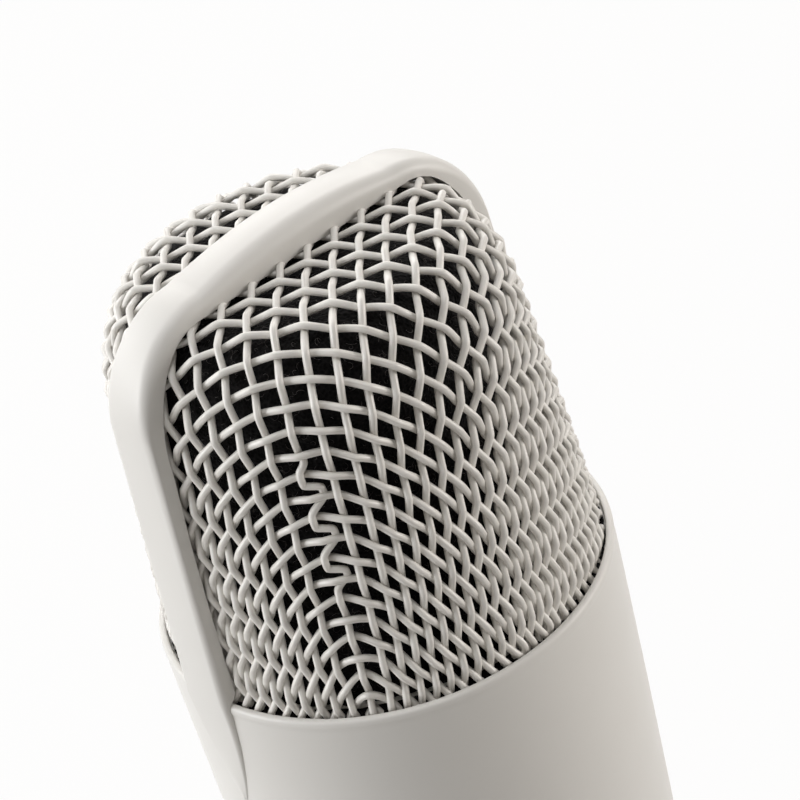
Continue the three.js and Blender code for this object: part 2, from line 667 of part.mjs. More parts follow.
// Small screw with its head down and its point up, at a place in plan.
function smallScrew(name, x, y, headTop, length) {
  const headLow = headTop - SMALL_SCREW_HEAD_HEIGHT;
  const head = solid(disc(SMALL_SCREW_HEAD_RADIUS, headLow, headTop, ROUND_SMALL));
  const shank = solid(
    disc(SMALL_SCREW_RADIUS, headTop - SMALL_SCREW_HEAD_HEIGHT / 2, headTop + length, ROUND_SMALL),
  );
  let made = head.add(shank);
  const wide = SMALL_SCREW_HEAD_RADIUS / 2;
  const thin = SMALL_SCREW_SLOT / 2;
  for (const [a, b] of [[thin, wide], [wide, thin]]) {
    made = made.subtract(solid(block(-a, a, -b, b, headLow - CUT_PAST, headLow + SMALL_SCREW_SLOT_DEPTH)));
  }
  const mesh = piece(name, made, "steel");
  mesh.position.set(x, y, 0);
  return mesh;
}

function capsuleWire() {
  const start = RETAINER_BOTTOM - BOARD_END_MARGIN / 2;
  const path = new THREE.CatmullRomCurve3([
    new THREE.Vector3(0, WIRE_BACKSET, start),
    new THREE.Vector3(0, WIRE_BACKSET, RETAINER_TOP),
    new THREE.Vector3(0, WIRE_BACKSET, RIM_Z + HEAD_RING_HEIGHT),
    new THREE.Vector3(0, CAPSULE_HALF_DEPTH + WIRE_RADIUS * 2, CAPSULE_Z - CAPSULE_RADIUS + CAPSULE_WALL),
  ]);
  const shape = new THREE.Shape();
  for (let i = 0; i < WIRE_SIDES; i += 1) {
    const turn = (i / WIRE_SIDES) * Math.PI * 2;
    const point = [WIRE_RADIUS * Math.cos(turn), WIRE_RADIUS * Math.sin(turn)];
    if (i === 0) shape.moveTo(...point);
    else shape.lineTo(...point);
  }
  const geometry = new THREE.ExtrudeGeometry(
    shape,
    { steps: WIRE_STEPS, extrudePath: path, bevelEnabled: false },
  );
  return piece("capsule_wire", solid(geometry), "rubber");
}

function bodyShell() {
  const outer = BODY_DEPTHS.map((depth, i) => [BODY_RADII[i], RIM_Z - depth]);
  const inner = outer.map(([r, z]) => [r - BODY_WALL, z]);
  inner[0] = [BODY_RADII[0] - BODY_WALL, RIM_Z];
  inner[1] = [BODY_RADII[0] - BODY_WALL, RIM_Z - BODY_DEPTHS[1]];
  const profile = [...outer, ...inner.reverse()];
  profile.push(profile[0]);
  let made = solid(turned(profile, ROUND_LARGE));
  const spokeHalf = SPOKE_WIDTH / 2 + FIT_GAP;
  const spokeReach = BODY_RADII[1] + CUT_PAST;
  const spokeLow = RIM_Z - HEAD_RING_HEIGHT - FIT_GAP;
  made = made.subtract(
    solid(block(-spokeReach, spokeReach, -spokeHalf, spokeHalf, spokeLow, RIM_Z + CUT_PAST)),
  );
  const hole = (radius, z, side, sides) => {
    const low = side < 0 ? -BODY_RADII[1] - CUT_PAST : RAIL_OUTER / 2;
    const high = side < 0 ? -RAIL_OUTER / 2 : BODY_RADII[1] + CUT_PAST;
    made = made.subtract(solid(alongY(disc(radius, low, high, sides), 0, z)));
  };
  hole(SHAFT_RADIUS + FIT_GAP, RIM_Z - VOLUME_DEPTH, -1, ROUND_MIDDLE);
  hole(MUTE_RADIUS + FIT_GAP, RIM_Z - MUTE_DEPTH, -1, ROUND_MIDDLE);
  hole(LIGHT_RADIUS + RUNNING_GAP, RIM_Z - LIGHT_DEPTH, -1, ROUND_SMALL);
  hole(JACK_NOSE_RADIUS + FIT_GAP, MIC_BOTTOM + JACK_RISE, 1, ROUND_MIDDLE);
  const usbZ = MIC_BOTTOM + USB_RISE;
  const usbX = USB_HALF_WIDTH + FIT_GAP;
  const usbHigh = USB_HALF_HEIGHT + FIT_GAP;
  made = made.subtract(solid(block(-usbX, usbX, RAIL_OUTER / 2, spokeReach, usbZ - usbHigh, usbZ + usbHigh)));
  return piece("body_shell", made, "satin_paint");
}

// Rail that carries one edge of the board and takes a cap screw in its foot.
function rail(name, side) {
  const low = PLUG_TOP + SEAT_GAP;
  const high = RETAINER_BOTTOM - SEAT_GAP;
  const x = [side * RAIL_INNER, side * RAIL_OUTER].sort((a, b) => a - b);
  let made = solid(block(x[0], x[1], -RAIL_HALF_DEPTH, RAIL_HALF_DEPTH + BOARD_BACK / 2, low, high));
  const foot = disc(RAIL_TUBE_RADIUS, low, low + CAP_SCREW_DEPTH + CUT_PAST, ROUND_SMALL);
  made = made.add(solid(foot.translate(side * CAP_SCREW_SPREAD, 0, 0)));
  const grooveFace = BOARD_HALF_WIDTH + FIT_GAP;
  const groove = [side * (RAIL_INNER - CUT_PAST), side * grooveFace].sort((a, b) => a - b);
  const slot = block(
    groove[0],
    groove[1],
    BOARD_FRONT - RUNNING_GAP,
    BOARD_BACK + RUNNING_GAP,
    low - CUT_PAST,
    high + CUT_PAST,
  );
  made = made.subtract(solid(slot));
  const hole = disc(
    SMALL_SCREW_RADIUS + RUNNING_GAP,
    low - CUT_PAST,
    low + CAP_SCREW_DEPTH - CUT_PAST,
    ROUND_SMALL,
  );
  return piece(name, made.subtract(solid(hole.translate(side * CAP_SCREW_SPREAD, 0, 0))), "black_plastic");
}

function mainBoard() {
  const half = BOARD_HALF_WIDTH;
  return piece(
    "main_board",
    solid(block(-half, half, BOARD_FRONT, BOARD_BACK, BOARD_BOTTOM, BOARD_TOP)),
    "board",
  );
}

function audioChip() {
  const z = MIC_BOTTOM + CHIP_RISE;
  const low = BOARD_BACK + SEAT_GAP;
  return piece(
    "audio_chip",
    solid(block(-CHIP_HALF, CHIP_HALF, low, low + CHIP_HEIGHT, z - CHIP_HALF, z + CHIP_HALF)),
    "black_plastic",
  );
}

function preampShield() {
  const z = MIC_BOTTOM + CHIP_RISE + CHIP_HALF + SHIELD_ABOVE_CHIP + SHIELD_HALF_LENGTH;
  const low = BOARD_BACK + SEAT_GAP;
  const half = SHIELD_HALF_WIDTH;
  const can = block(-half, half, low, low + SHIELD_HEIGHT, z - SHIELD_HALF_LENGTH, z + SHIELD_HALF_LENGTH);
  return piece("preamp_shield", solid(can), "steel");
}

function volumeEncoder() {
  const z = RIM_Z - VOLUME_DEPTH;
  const back = BOARD_FRONT - SEAT_GAP;
  const front = back - ENCODER_LENGTH;
  const nose = front - BUSHING_LENGTH;
  const body = solid(block(-ENCODER_HALF, ENCODER_HALF, front, back, z - ENCODER_HALF, z + ENCODER_HALF));
  const bushing = solid(alongY(disc(BUSHING_RADIUS, nose, front + CUT_PAST, ROUND_MIDDLE), 0, z));
  const bore = disc(SHAFT_RADIUS + RUNNING_GAP, nose - CUT_PAST, front + CUT_PAST, ROUND_MIDDLE);
  return piece("volume_encoder", body.add(bushing).subtract(solid(alongY(bore, 0, z))), "dark_metal");
}

function volumeShaft() {
  const z = RIM_Z - VOLUME_DEPTH;
  const back = BOARD_FRONT - SEAT_GAP - ENCODER_LENGTH + CUT_PAST - SEAT_GAP;
  const front = -bodyRadius(z) - SHAFT_REACH;
  return piece("volume_shaft", solid(alongY(disc(SHAFT_RADIUS, front, back, ROUND_MIDDLE), 0, z)), "steel");
}

// Fluted knob about the upright axis, from zero up to its face, with a blind bore from below.
function knobSolid(radius, length, chamfer, flutes, fluteRadius, boreRadius, boreDepth) {
  const profile = [[0, 0], [radius, 0], [radius, length - chamfer], [radius - chamfer, length], [0, length]];
  let made = solid(turned(profile, ROUND_LARGE));
  for (let i = 0; i < flutes; i += 1) {
    const turn = (i / flutes) * Math.PI * 2;
    const flute = disc(fluteRadius, -CUT_PAST, length + CUT_PAST, ROUND_SMALL / 2 + 1);
    made = made.subtract(solid(flute.translate(radius * Math.cos(turn), radius * Math.sin(turn), 0)));
  }
  return made.subtract(solid(disc(boreRadius, -CUT_PAST, boreDepth, ROUND_MIDDLE)));
}

function volumeKnob() {
  const z = RIM_Z - VOLUME_DEPTH;
  const back = bodyRadius(z) + FIT_GAP * 2;
  let made = knobSolid(
    VOLUME_KNOB_RADIUS,
    VOLUME_KNOB_LENGTH,
    VOLUME_KNOB_CHAMFER,
    VOLUME_KNOB_FLUTES,
    VOLUME_KNOB_FLUTE_RADIUS,
    SHAFT_RADIUS + SEAT_GAP,
    SHAFT_REACH - FIT_GAP * 2 + SEAT_GAP,
  );
  const half = POINTER_WIDTH / 2;
  const face = VOLUME_KNOB_LENGTH;
  const pointer = block(
    -half,
    half,
    VOLUME_KNOB_RADIUS / 2,
    VOLUME_KNOB_RADIUS + CUT_PAST,
    face - POINTER_DEPTH,
    face + CUT_PAST,
  );
  made = made.subtract(solid(pointer));
  const mesh = piece("volume_knob", made, "black_plastic");
  mesh.rotation.x = Math.PI / 2;
  mesh.position.set(0, -back, z);
  return mesh;
}

function muteButton() {
  const z = RIM_Z - MUTE_DEPTH;
  const face = bodyRadius(z) + MUTE_PROUD;
  const inside = Math.sqrt((bodyRadius(z) - BODY_WALL) ** 2 - MUTE_COLLAR_RADIUS ** 2);
  const collarFront = inside - MUTE_COLLAR_GAP;
  const collarBack = collarFront - MUTE_COLLAR_THICKNESS;
  const stemEnd = SWITCH_LENGTH - BOARD_FRONT + MUTE_TRAVEL + FIT_GAP;
  const profile = [
    [0, stemEnd],
    [MUTE_STEM_RADIUS, stemEnd],
    [MUTE_STEM_RADIUS, collarBack],
    [MUTE_COLLAR_RADIUS, collarBack],
    [MUTE_COLLAR_RADIUS, collarFront],
    [MUTE_RADIUS, collarFront],
    [MUTE_RADIUS, face - MUTE_CHAMFER],
    [MUTE_RADIUS - MUTE_CHAMFER, face],
    [0, face],
  ];
  const mesh = piece("mute_button", solid(turned(profile, ROUND_MIDDLE)), "grey_plastic");
  mesh.rotation.x = Math.PI / 2;
  mesh.position.set(0, 0, z);
  return mesh;
}

function muteSwitch() {
  const z = RIM_Z - MUTE_DEPTH;
  const back = BOARD_FRONT - SEAT_GAP;
  const body = block(
    -SWITCH_HALF,
    SWITCH_HALF,
    BOARD_FRONT - SWITCH_LENGTH,
    back,
    z - SWITCH_HALF,
    z + SWITCH_HALF,
  );
  return piece("mute_switch", solid(body), "black_plastic");
}

function statusLed() {
  const z = RIM_Z - LIGHT_DEPTH;
  const back = BOARD_FRONT - SEAT_GAP;
  return piece(
    "status_led",
    solid(block(-LED_HALF, LED_HALF, back - LED_LENGTH, back, z - LED_HALF, z + LED_HALF)),
    "grey_plastic",
  );
}

function statusLight() {
  const z = RIM_Z - LIGHT_DEPTH;
  const back = BOARD_FRONT - LED_LENGTH - SEAT_GAP * 2;
  const front = -bodyRadius(z) - LIGHT_PROUD;
  return piece("status_light", solid(alongY(disc(LIGHT_RADIUS, front, back, ROUND_SMALL), 0, z)), "lens");
}

function headphoneJack() {
  const z = MIC_BOTTOM + JACK_RISE;
  const mouth = bodyRadius(z) + SOCKET_PROUD;
  const body = solid(
    block(-JACK_HALF, JACK_HALF, BOARD_BACK + SEAT_GAP, JACK_BODY_END, z - JACK_HALF, z + JACK_HALF),
  );
  const nose = solid(alongY(disc(JACK_NOSE_RADIUS, JACK_BODY_END - CUT_PAST, mouth, ROUND_MIDDLE), 0, z));
  const bore = solid(
    alongY(disc(JACK_BORE_RADIUS, mouth - JACK_BORE_DEPTH, mouth + CUT_PAST, ROUND_SMALL), 0, z),
  );
  return piece("headphone_jack", body.add(nose).subtract(bore), "black_plastic");
}

function usbSocket() {
  const z = MIC_BOTTOM + USB_RISE;
  const mouth = bodyRadius(z) + SOCKET_PROUD;
  const x = USB_HALF_WIDTH;
  const h = USB_HALF_HEIGHT;
  const floor = mouth - USB_DEPTH;
  const body = solid(block(-USB_BODY_HALF, USB_BODY_HALF, BOARD_BACK + SEAT_GAP, USB_BODY_END, z - h, z + h));
  const shell = solid(block(-x, x, USB_BODY_END - CUT_PAST, mouth, z - h, z + h));
  const cavity = solid(
    block(-x + USB_WALL, x - USB_WALL, floor, mouth + CUT_PAST, z - h + USB_WALL, z + h - USB_WALL),
  );
  const blade = solid(
    block(
      -USB_BLADE_HALF_WIDTH,
      USB_BLADE_HALF_WIDTH,
      floor - CUT_PAST,
      floor + USB_BLADE_LENGTH,
      z - USB_BLADE_HALF_HEIGHT,
      z + USB_BLADE_HALF_HEIGHT,
    ),
  );
  return piece("usb_socket", body.add(shell).subtract(cavity).add(blade), "steel");
}

function bottomCap() {
  const outer = BODY_RADII[BODY_RADII.length - 1];
  const plug = SHELL_CEILING_INNER - FIT_GAP;
  const profile = [
    [0, MIC_BOTTOM],
    [outer - CAP_CHAMFER, MIC_BOTTOM],
    [outer, MIC_BOTTOM + CAP_CHAMFER],
    [outer, SHELL_BOTTOM - SEAT_GAP],
    [plug, SHELL_BOTTOM - SEAT_GAP],
    [plug, PLUG_TOP],
    [0, PLUG_TOP],
  ];
  let made = solid(turned(profile, ROUND_LARGE));
  made = made.subtract(
    solid(disc(STUD_RADIUS + RUNNING_GAP, MIC_BOTTOM - CUT_PAST, PLUG_TOP + CUT_PAST, ROUND_MIDDLE)),
  );
  for (const side of [-1, 1]) {
    const hole = disc(
      SMALL_SCREW_RADIUS + RUNNING_GAP,
      MIC_BOTTOM - CUT_PAST,
      PLUG_TOP + CUT_PAST,
      ROUND_SMALL,
    );
    const sink = disc(
      SMALL_SCREW_HEAD_RADIUS + RUNNING_GAP * 2,
      MIC_BOTTOM - CUT_PAST,
      MIC_BOTTOM + SMALL_SCREW_HEAD_HEIGHT + FIT_GAP,
      ROUND_SMALL,
    );
    made = made.subtract(solid(hole.translate(side * CAP_SCREW_SPREAD, 0, 0)));
    made = made.subtract(solid(sink.translate(side * CAP_SCREW_SPREAD, 0, 0)));
  }
  return piece("bottom_cap", made, "satin_paint");
}

function mountBracket() {
  const half = TONGUE_HALF_THICKNESS;
  const eye = solid(alongX(disc(TONGUE_RADIUS, -half, half, ROUND_MIDDLE), 0, PIVOT_Z));
  const neck = solid(
    block(-half, half, -TONGUE_NECK_HALF, TONGUE_NECK_HALF, PIVOT_Z, FLANGE_BOTTOM + SEAT_GAP),
  );
  const flange = solid(disc(FLANGE_RADIUS, FLANGE_BOTTOM, MIC_BOTTOM - SEAT_GAP, ROUND_LARGE));
  const stud = solid(disc(STUD_RADIUS, FLANGE_BOTTOM, PLUG_TOP + NUT_HEIGHT + CUT_PAST, ROUND_MIDDLE));
  const bore = alongX(
    disc(TILT_BOLT_RADIUS + RUNNING_GAP, -half - CUT_PAST, half + CUT_PAST, ROUND_MIDDLE),
    0,
    PIVOT_Z,
  );
  return piece("mount_bracket", eye.add(neck).add(flange).add(stud).subtract(solid(bore)), "dark_metal");
}

function bracketNut() {
  const low = PLUG_TOP + SEAT_GAP;
  const hex = solid(disc(NUT_RADIUS, low, low + NUT_HEIGHT, NUT_SIDES));
  const bore = solid(disc(STUD_RADIUS + SEAT_GAP, low - CUT_PAST, low + NUT_HEIGHT + CUT_PAST, ROUND_MIDDLE));
  return piece("bracket_nut", hex.subtract(bore), "steel");
}

function swivelWasher() {
  const outer = POST_RADIUS - POST_CHAMFER;
  const washer = ring(SPIGOT_RADIUS + RUNNING_GAP, outer, POST_TOP, FORK_BOTTOM - SEAT_GAP, ROUND_MIDDLE);
  return piece("swivel_washer", solid(washer), "black_plastic");
}

function swivelFork() {
  const hub = solid(disc(FORK_HUB_RADIUS, FORK_BOTTOM, FORK_FLOOR, ROUND_LARGE));
  const cheeks = solid(block(-EAR_OUTER, EAR_OUTER, -EAR_RADIUS, EAR_RADIUS, FORK_FLOOR - CUT_PAST, PIVOT_Z));
  const eyes = solid(alongX(disc(EAR_RADIUS, -EAR_OUTER, EAR_OUTER, ROUND_MIDDLE), 0, PIVOT_Z));
  const reach = EAR_RADIUS + CUT_PAST;
  const slot = solid(block(-EAR_INNER, EAR_INNER, -reach, reach, FORK_FLOOR, PIVOT_Z + reach));
  const corner = solid(disc(FORK_HUB_RADIUS + CUT_PAST * 2, FORK_BOTTOM, PIVOT_Z + reach, ROUND_LARGE));
  const boreTop = FORK_FLOOR + CUT_PAST;
  const bore = solid(disc(SPIGOT_RADIUS + RUNNING_GAP, FORK_BOTTOM - CUT_PAST, boreTop, ROUND_MIDDLE));
  const pin = solid(
    alongX(
      disc(TILT_BOLT_RADIUS + RUNNING_GAP, -EAR_OUTER - CUT_PAST, EAR_OUTER + CUT_PAST, ROUND_MIDDLE),
      0,
      PIVOT_Z,
    ),
  );
  const screwHole = alongY(
    disc(
      SET_SCREW_RADIUS + SEAT_GAP,
      SPIGOT_RADIUS - SPIGOT_GROOVE_DEPTH,
      FORK_HUB_RADIUS + CUT_PAST,
      ROUND_SMALL,
    ),
    0,
    SET_SCREW_Z,
  );
  const made = hub.add(cheeks.add(eyes).subtract(slot).intersect(corner));
  return piece("swivel_fork", made.subtract(bore).subtract(pin).subtract(solid(screwHole)), "dark_metal");
}

function swivelSetScrew() {
  const inner = SPIGOT_RADIUS - SPIGOT_GROOVE_DEPTH + FIT_GAP;
  const outer = FORK_HUB_RADIUS - SET_SCREW_KEY_DEPTH / 2;
  const body = solid(alongY(disc(SET_SCREW_RADIUS, inner, outer, ROUND_SMALL), 0, SET_SCREW_Z));
  const key = disc(SET_SCREW_KEY_RADIUS, outer - SET_SCREW_KEY_DEPTH, outer + CUT_PAST, NUT_SIDES);
  return piece("swivel_set_screw", body.subtract(solid(alongY(key, 0, SET_SCREW_Z))), "steel");
}

function frictionWasher(name, side) {
  const near = side * (TONGUE_HALF_THICKNESS + SEAT_GAP);
  const far = side * (EAR_INNER - SEAT_GAP);
  const washer = ring(
    TILT_BOLT_RADIUS + RUNNING_GAP,
    FRICTION_WASHER_RADIUS,
    Math.min(near, far),
    Math.max(near, far),
    ROUND_MIDDLE,
  );
  return piece(name, solid(alongX(washer, 0, PIVOT_Z)), "black_plastic");
}

function tiltBolt() {
  const headLow = -EAR_OUTER - TILT_BOLT_HEAD_LENGTH - SEAT_GAP;
  const head = solid(
    alongX(disc(TILT_BOLT_HEAD_RADIUS, headLow, -EAR_OUTER - SEAT_GAP, ROUND_MIDDLE), 0, PIVOT_Z),
  );
  const end = EAR_OUTER + KNOB_STANDOFF + TILT_BOLT_REACH;
  const shank = solid(alongX(disc(TILT_BOLT_RADIUS, -EAR_OUTER - CUT_PAST, end, ROUND_MIDDLE), 0, PIVOT_Z));
  const key = solid(
    alongX(
      disc(TILT_BOLT_KEY_RADIUS, headLow - CUT_PAST, headLow + TILT_BOLT_KEY_DEPTH, NUT_SIDES),
      0,
      PIVOT_Z,
    ),
  );
  return piece("tilt_bolt", head.add(shank).subtract(key), "steel");
}

function tiltKnob() {
  const depth = TILT_BOLT_REACH + KNOB_BORE_SPARE;
  const body = knobSolid(
    TILT_KNOB_RADIUS,
    TILT_KNOB_LENGTH,
    TILT_KNOB_CHAMFER,
    TILT_KNOB_FLUTES,
    TILT_KNOB_FLUTE_RADIUS,
    TILT_BOLT_RADIUS + RUNNING_GAP,
    depth,
  );
  const waist = solid(
    ring(TILT_KNOB_HUB_RADIUS, TILT_KNOB_RADIUS + CUT_PAST, -CUT_PAST, TILT_KNOB_HUB_LENGTH, ROUND_MIDDLE),
  );
  const mesh = piece("tilt_knob", body.subtract(waist), "black_plastic");
  mesh.rotation.y = Math.PI / 2;
  mesh.position.set(EAR_OUTER + KNOB_STANDOFF, 0, PIVOT_Z);
  return mesh;
}

function standPost() {
  const spigotTop = POST_TOP + SPIGOT_LENGTH;
  const grooveLow = POST_TOP + SPIGOT_GROOVE_RISE;
  const grooveHigh = grooveLow + SPIGOT_GROOVE_HEIGHT;
  const grooveRadius = SPIGOT_RADIUS - SPIGOT_GROOVE_DEPTH;
  const profile = [
    [0, BASE_TOP + SEAT_GAP],
    [POST_FOOT_RADIUS, BASE_TOP + SEAT_GAP],
    [POST_FOOT_RADIUS, BASE_TOP + POST_FOOT_HEIGHT - POST_CHAMFER],
    [POST_FOOT_RADIUS - POST_CHAMFER, BASE_TOP + POST_FOOT_HEIGHT],
    [POST_RADIUS, BASE_TOP + POST_FOOT_HEIGHT],
    [POST_RADIUS, POST_TOP - POST_CHAMFER - SEAT_GAP],
    [POST_RADIUS - POST_CHAMFER, POST_TOP - SEAT_GAP],
    [SPIGOT_RADIUS, POST_TOP - SEAT_GAP],
    [SPIGOT_RADIUS, grooveLow],
    [grooveRadius, grooveLow],
    [grooveRadius, grooveHigh],
    [SPIGOT_RADIUS, grooveHigh],
    [SPIGOT_RADIUS, spigotTop],
    [0, spigotTop],
  ];
  const thread = disc(
    BASE_BOLT_RADIUS + RUNNING_GAP,
    BASE_TOP - CUT_PAST,
    BASE_TOP + BASE_BOLT_GRIP + CUT_PAST,
    ROUND_MIDDLE,
  );
  return piece("stand_post", solid(turned(profile, ROUND_MIDDLE)).subtract(solid(thread)), "satin_paint");
}

function basePlate() {
  const profile = [
    [0, BASE_BOTTOM],
    [BASE_RADIUS - BASE_EDGE_CHAMFER, BASE_BOTTOM],
    [BASE_RADIUS, BASE_BOTTOM + BASE_EDGE_CHAMFER],
    [BASE_RADIUS, BASE_BOTTOM + BASE_EDGE_HEIGHT],
    [BASE_RADIUS - BASE_SHOULDER_INSET, BASE_BOTTOM + BASE_SHOULDER_HEIGHT],
    [BASE_DOME_RADIUS, BASE_BOTTOM + BASE_DOME_HEIGHT],
    [BASE_BOSS_RADIUS, BASE_TOP],
    [0, BASE_TOP],
  ];
  let made = solid(turned(profile, ROUND_LARGE));
  const grooveTop = BASE_BOTTOM + FOOT_GROOVE_DEPTH;
  const groove = ring(
    FOOT_RING_INNER - FIT_GAP,
    FOOT_RING_OUTER + FIT_GAP,
    BASE_BOTTOM - CUT_PAST,
    grooveTop,
    ROUND_LARGE,
  );
  const recess = disc(BASE_RECESS_RADIUS, BASE_BOTTOM - CUT_PAST, RECESS_TOP, ROUND_MIDDLE);
  const bore = disc(BASE_BOLT_RADIUS + RUNNING_GAP, BASE_BOTTOM, BASE_TOP + CUT_PAST, ROUND_MIDDLE);
  for (const cutter of [groove, recess, bore]) made = made.subtract(solid(cutter));
  return piece("base_plate", made, "satin_paint");
}

function footRing() {
  const top = FOOT_RING_HEIGHT - SEAT_GAP;
  return piece("foot_ring", solid(ring(FOOT_RING_INNER, FOOT_RING_OUTER, 0, top, ROUND_LARGE)), "rubber");
}

function baseWasher() {
  const top = RECESS_TOP - SEAT_GAP;
  const inner = BASE_BOLT_RADIUS + RUNNING_GAP;
  return piece(
    "base_washer",
    solid(ring(inner, BASE_WASHER_RADIUS, top - BASE_WASHER_HEIGHT, top, ROUND_MIDDLE)),
    "steel",
  );
}

function baseBolt() {
  const headTop = RECESS_TOP - BASE_WASHER_HEIGHT - SEAT_GAP * 2;
  const headLow = headTop - BASE_BOLT_HEAD_HEIGHT;
  const head = solid(disc(BASE_BOLT_HEAD_RADIUS, headLow, headTop, ROUND_MIDDLE));
  const shank = solid(disc(BASE_BOLT_RADIUS, headTop - CUT_PAST, BASE_TOP + BASE_BOLT_GRIP, ROUND_MIDDLE));
  const key = solid(disc(BASE_BOLT_KEY_RADIUS, headLow - CUT_PAST, headLow + BASE_BOLT_KEY_DEPTH, NUT_SIDES));
  return piece("base_bolt", head.add(shank).subtract(key), "steel");
}

const microphone = new THREE.Group();
microphone.name = "desktop_microphone";
microphone.add(
  headFrame(),
  grille("front_grille", -1),
  grille("rear_grille", 1),
  foamLiner(),
  capsuleHousing(),
  capsuleBackplate(),
  diaphragm("front_diaphragm", -1),
  diaphragm("rear_diaphragm", 1),
  clampRing("front_clamp_ring", -1),
  clampRing("rear_clamp_ring", 1),
  capsulePost(),
  isolationMount(),
  capsuleWire(),
  headRetainer(),
  smallScrew(
    "head_screw_front",
    0,
    -HEAD_SCREW_SPREAD,
    RETAINER_BOTTOM - SEAT_GAP,
    RETAINER_HEIGHT + HEAD_SCREW_GRIP,
  ),
  smallScrew(
    "head_screw_rear",
    0,
    HEAD_SCREW_SPREAD,
    RETAINER_BOTTOM - SEAT_GAP,
    RETAINER_HEIGHT + HEAD_SCREW_GRIP,
  ),
  bodyShell(),
  rail("left_rail", -1),
  rail("right_rail", 1),
  mainBoard(),
  audioChip(),
  preampShield(),
  volumeEncoder(),
  volumeShaft(),
  volumeKnob(),
  muteSwitch(),
  muteButton(),
  statusLed(),
  statusLight(),
  headphoneJack(),
  usbSocket(),
  bottomCap(),
  smallScrew(
    "cap_screw_left",
    -CAP_SCREW_SPREAD,
    0,
    MIC_BOTTOM + SMALL_SCREW_HEAD_HEIGHT + SEAT_GAP,
    CAP_SCREW_DEPTH,
  ),
  smallScrew(
    "cap_screw_right",
    CAP_SCREW_SPREAD,
    0,
    MIC_BOTTOM + SMALL_SCREW_HEAD_HEIGHT + SEAT_GAP,
    CAP_SCREW_DEPTH,
  ),
  mountBracket(),
  bracketNut(),
  swivelWasher(),
  swivelFork(),
  swivelSetScrew(),
  frictionWasher("friction_washer_left", -1),
  frictionWasher("friction_washer_right", 1),
  tiltBolt(),
  tiltKnob(),
  standPost(),
  basePlate(),
  footRing(),
  baseWasher(),
  baseBolt(),
);

export default microphone;
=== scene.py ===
"""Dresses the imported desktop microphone: woven grilles, cast band, foam, body, controls and stand."""
import json
import logging
from contextlib import contextmanager
from dataclasses import dataclass, field
from enum import Enum
from typing import Callable, Dict, Iterator, List, Optional, Sequence, Tuple

import bmesh
import bpy
import numpy as np
from mathutils import Matrix, Vector


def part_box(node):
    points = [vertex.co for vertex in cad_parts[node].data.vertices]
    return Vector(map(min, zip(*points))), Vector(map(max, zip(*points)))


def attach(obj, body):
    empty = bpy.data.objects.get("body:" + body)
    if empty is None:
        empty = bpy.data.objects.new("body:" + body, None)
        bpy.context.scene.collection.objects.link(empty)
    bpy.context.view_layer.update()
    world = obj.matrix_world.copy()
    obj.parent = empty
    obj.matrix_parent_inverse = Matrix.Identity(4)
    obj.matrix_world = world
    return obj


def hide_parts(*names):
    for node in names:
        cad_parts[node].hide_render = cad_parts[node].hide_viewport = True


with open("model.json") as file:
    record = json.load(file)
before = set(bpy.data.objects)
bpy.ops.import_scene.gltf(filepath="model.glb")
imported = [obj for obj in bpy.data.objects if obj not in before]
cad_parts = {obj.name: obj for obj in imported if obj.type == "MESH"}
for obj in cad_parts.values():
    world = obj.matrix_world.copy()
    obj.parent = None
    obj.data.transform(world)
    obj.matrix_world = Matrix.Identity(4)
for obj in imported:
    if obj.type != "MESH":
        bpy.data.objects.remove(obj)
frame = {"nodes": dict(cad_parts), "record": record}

LOG = logging.getLogger("desktop_microphone")
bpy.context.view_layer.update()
MM = 0.001
Colour = Tuple[float, float, float]
Array = np.ndarray
Socket = bpy.types.NodeSocket

# Points closer than WELD_GAP metres are merged, and edges shorter than SHARD metres are dissolved.
WELD_GAP = 2e-6
SHARD = 1e-7


class Facing(Enum):
    """Side of the head that a grille or a control is on."""

    FRONT = -1
    REAR = 1


class Axis(Enum):
    """Direction in which a turned piece's own upright axis is laid."""

    FRONT = "front"
    REAR = "rear"
    RIGHT = "right"


# Finishes: each builds one procedural material.


def plug(tree: bpy.types.NodeTree, socket: Socket, value: object) -> None:
    """Feeds a socket.

    Args:
        tree: the tree that the socket is in.
        socket: the socket to feed.
        value: another socket to link, or a constant.
    """
    if isinstance(value, Socket):
        tree.links.new(value, socket)
    else:
        socket.default_value = value


def add_node(tree: bpy.types.NodeTree, kind: str, **values: object) -> bpy.types.Node:
    """Adds a node to a tree.

    Args:
        tree: the tree.
        kind: the node's type.
        values: what each named socket is fed with; an underscore in a name stands for a space.

    Returns:
        The new node.
    """
    node = tree.nodes.new(kind)
    for key, value in values.items():
        plug(tree, node.inputs[key.replace("_", " ")], value)
    return node


def add_math(tree: bpy.types.NodeTree, operation: str, first: Socket, second: object) -> Socket:
    """Adds a node that works on two numbers.

    Args:
        tree: the tree.
        operation: what it does with them.
        first: socket of the first number.
        second: socket of the second number, or a constant.

    Returns:
        The result's socket.
    """
    node = add_node(tree, "ShaderNodeMath")
    node.operation = operation
    plug(tree, node.inputs[0], first)
    plug(tree, node.inputs[1], second)
    return node.outputs["Value"]


def mix_shaders(tree: bpy.types.NodeTree, factor: Socket, first: Socket, second: Socket) -> Socket:
    """Mixes two shaders.

    Args:
        tree: the tree.
        factor: share of the second one.
        first: socket of the first shader.
        second: socket of the second shader.

    Returns:
        The mixed shader's socket.
    """
    node = add_node(tree, "ShaderNodeMixShader")
    for socket, value in zip(node.inputs, (factor, first, second)):
        plug(tree, socket, value)
    return node.outputs["Shader"]


def shade(colour: Colour, share: float) -> Colour:
    """Returns a colour made darker or lighter by a share."""
    return tuple(min(1.0, c * share) for c in colour)


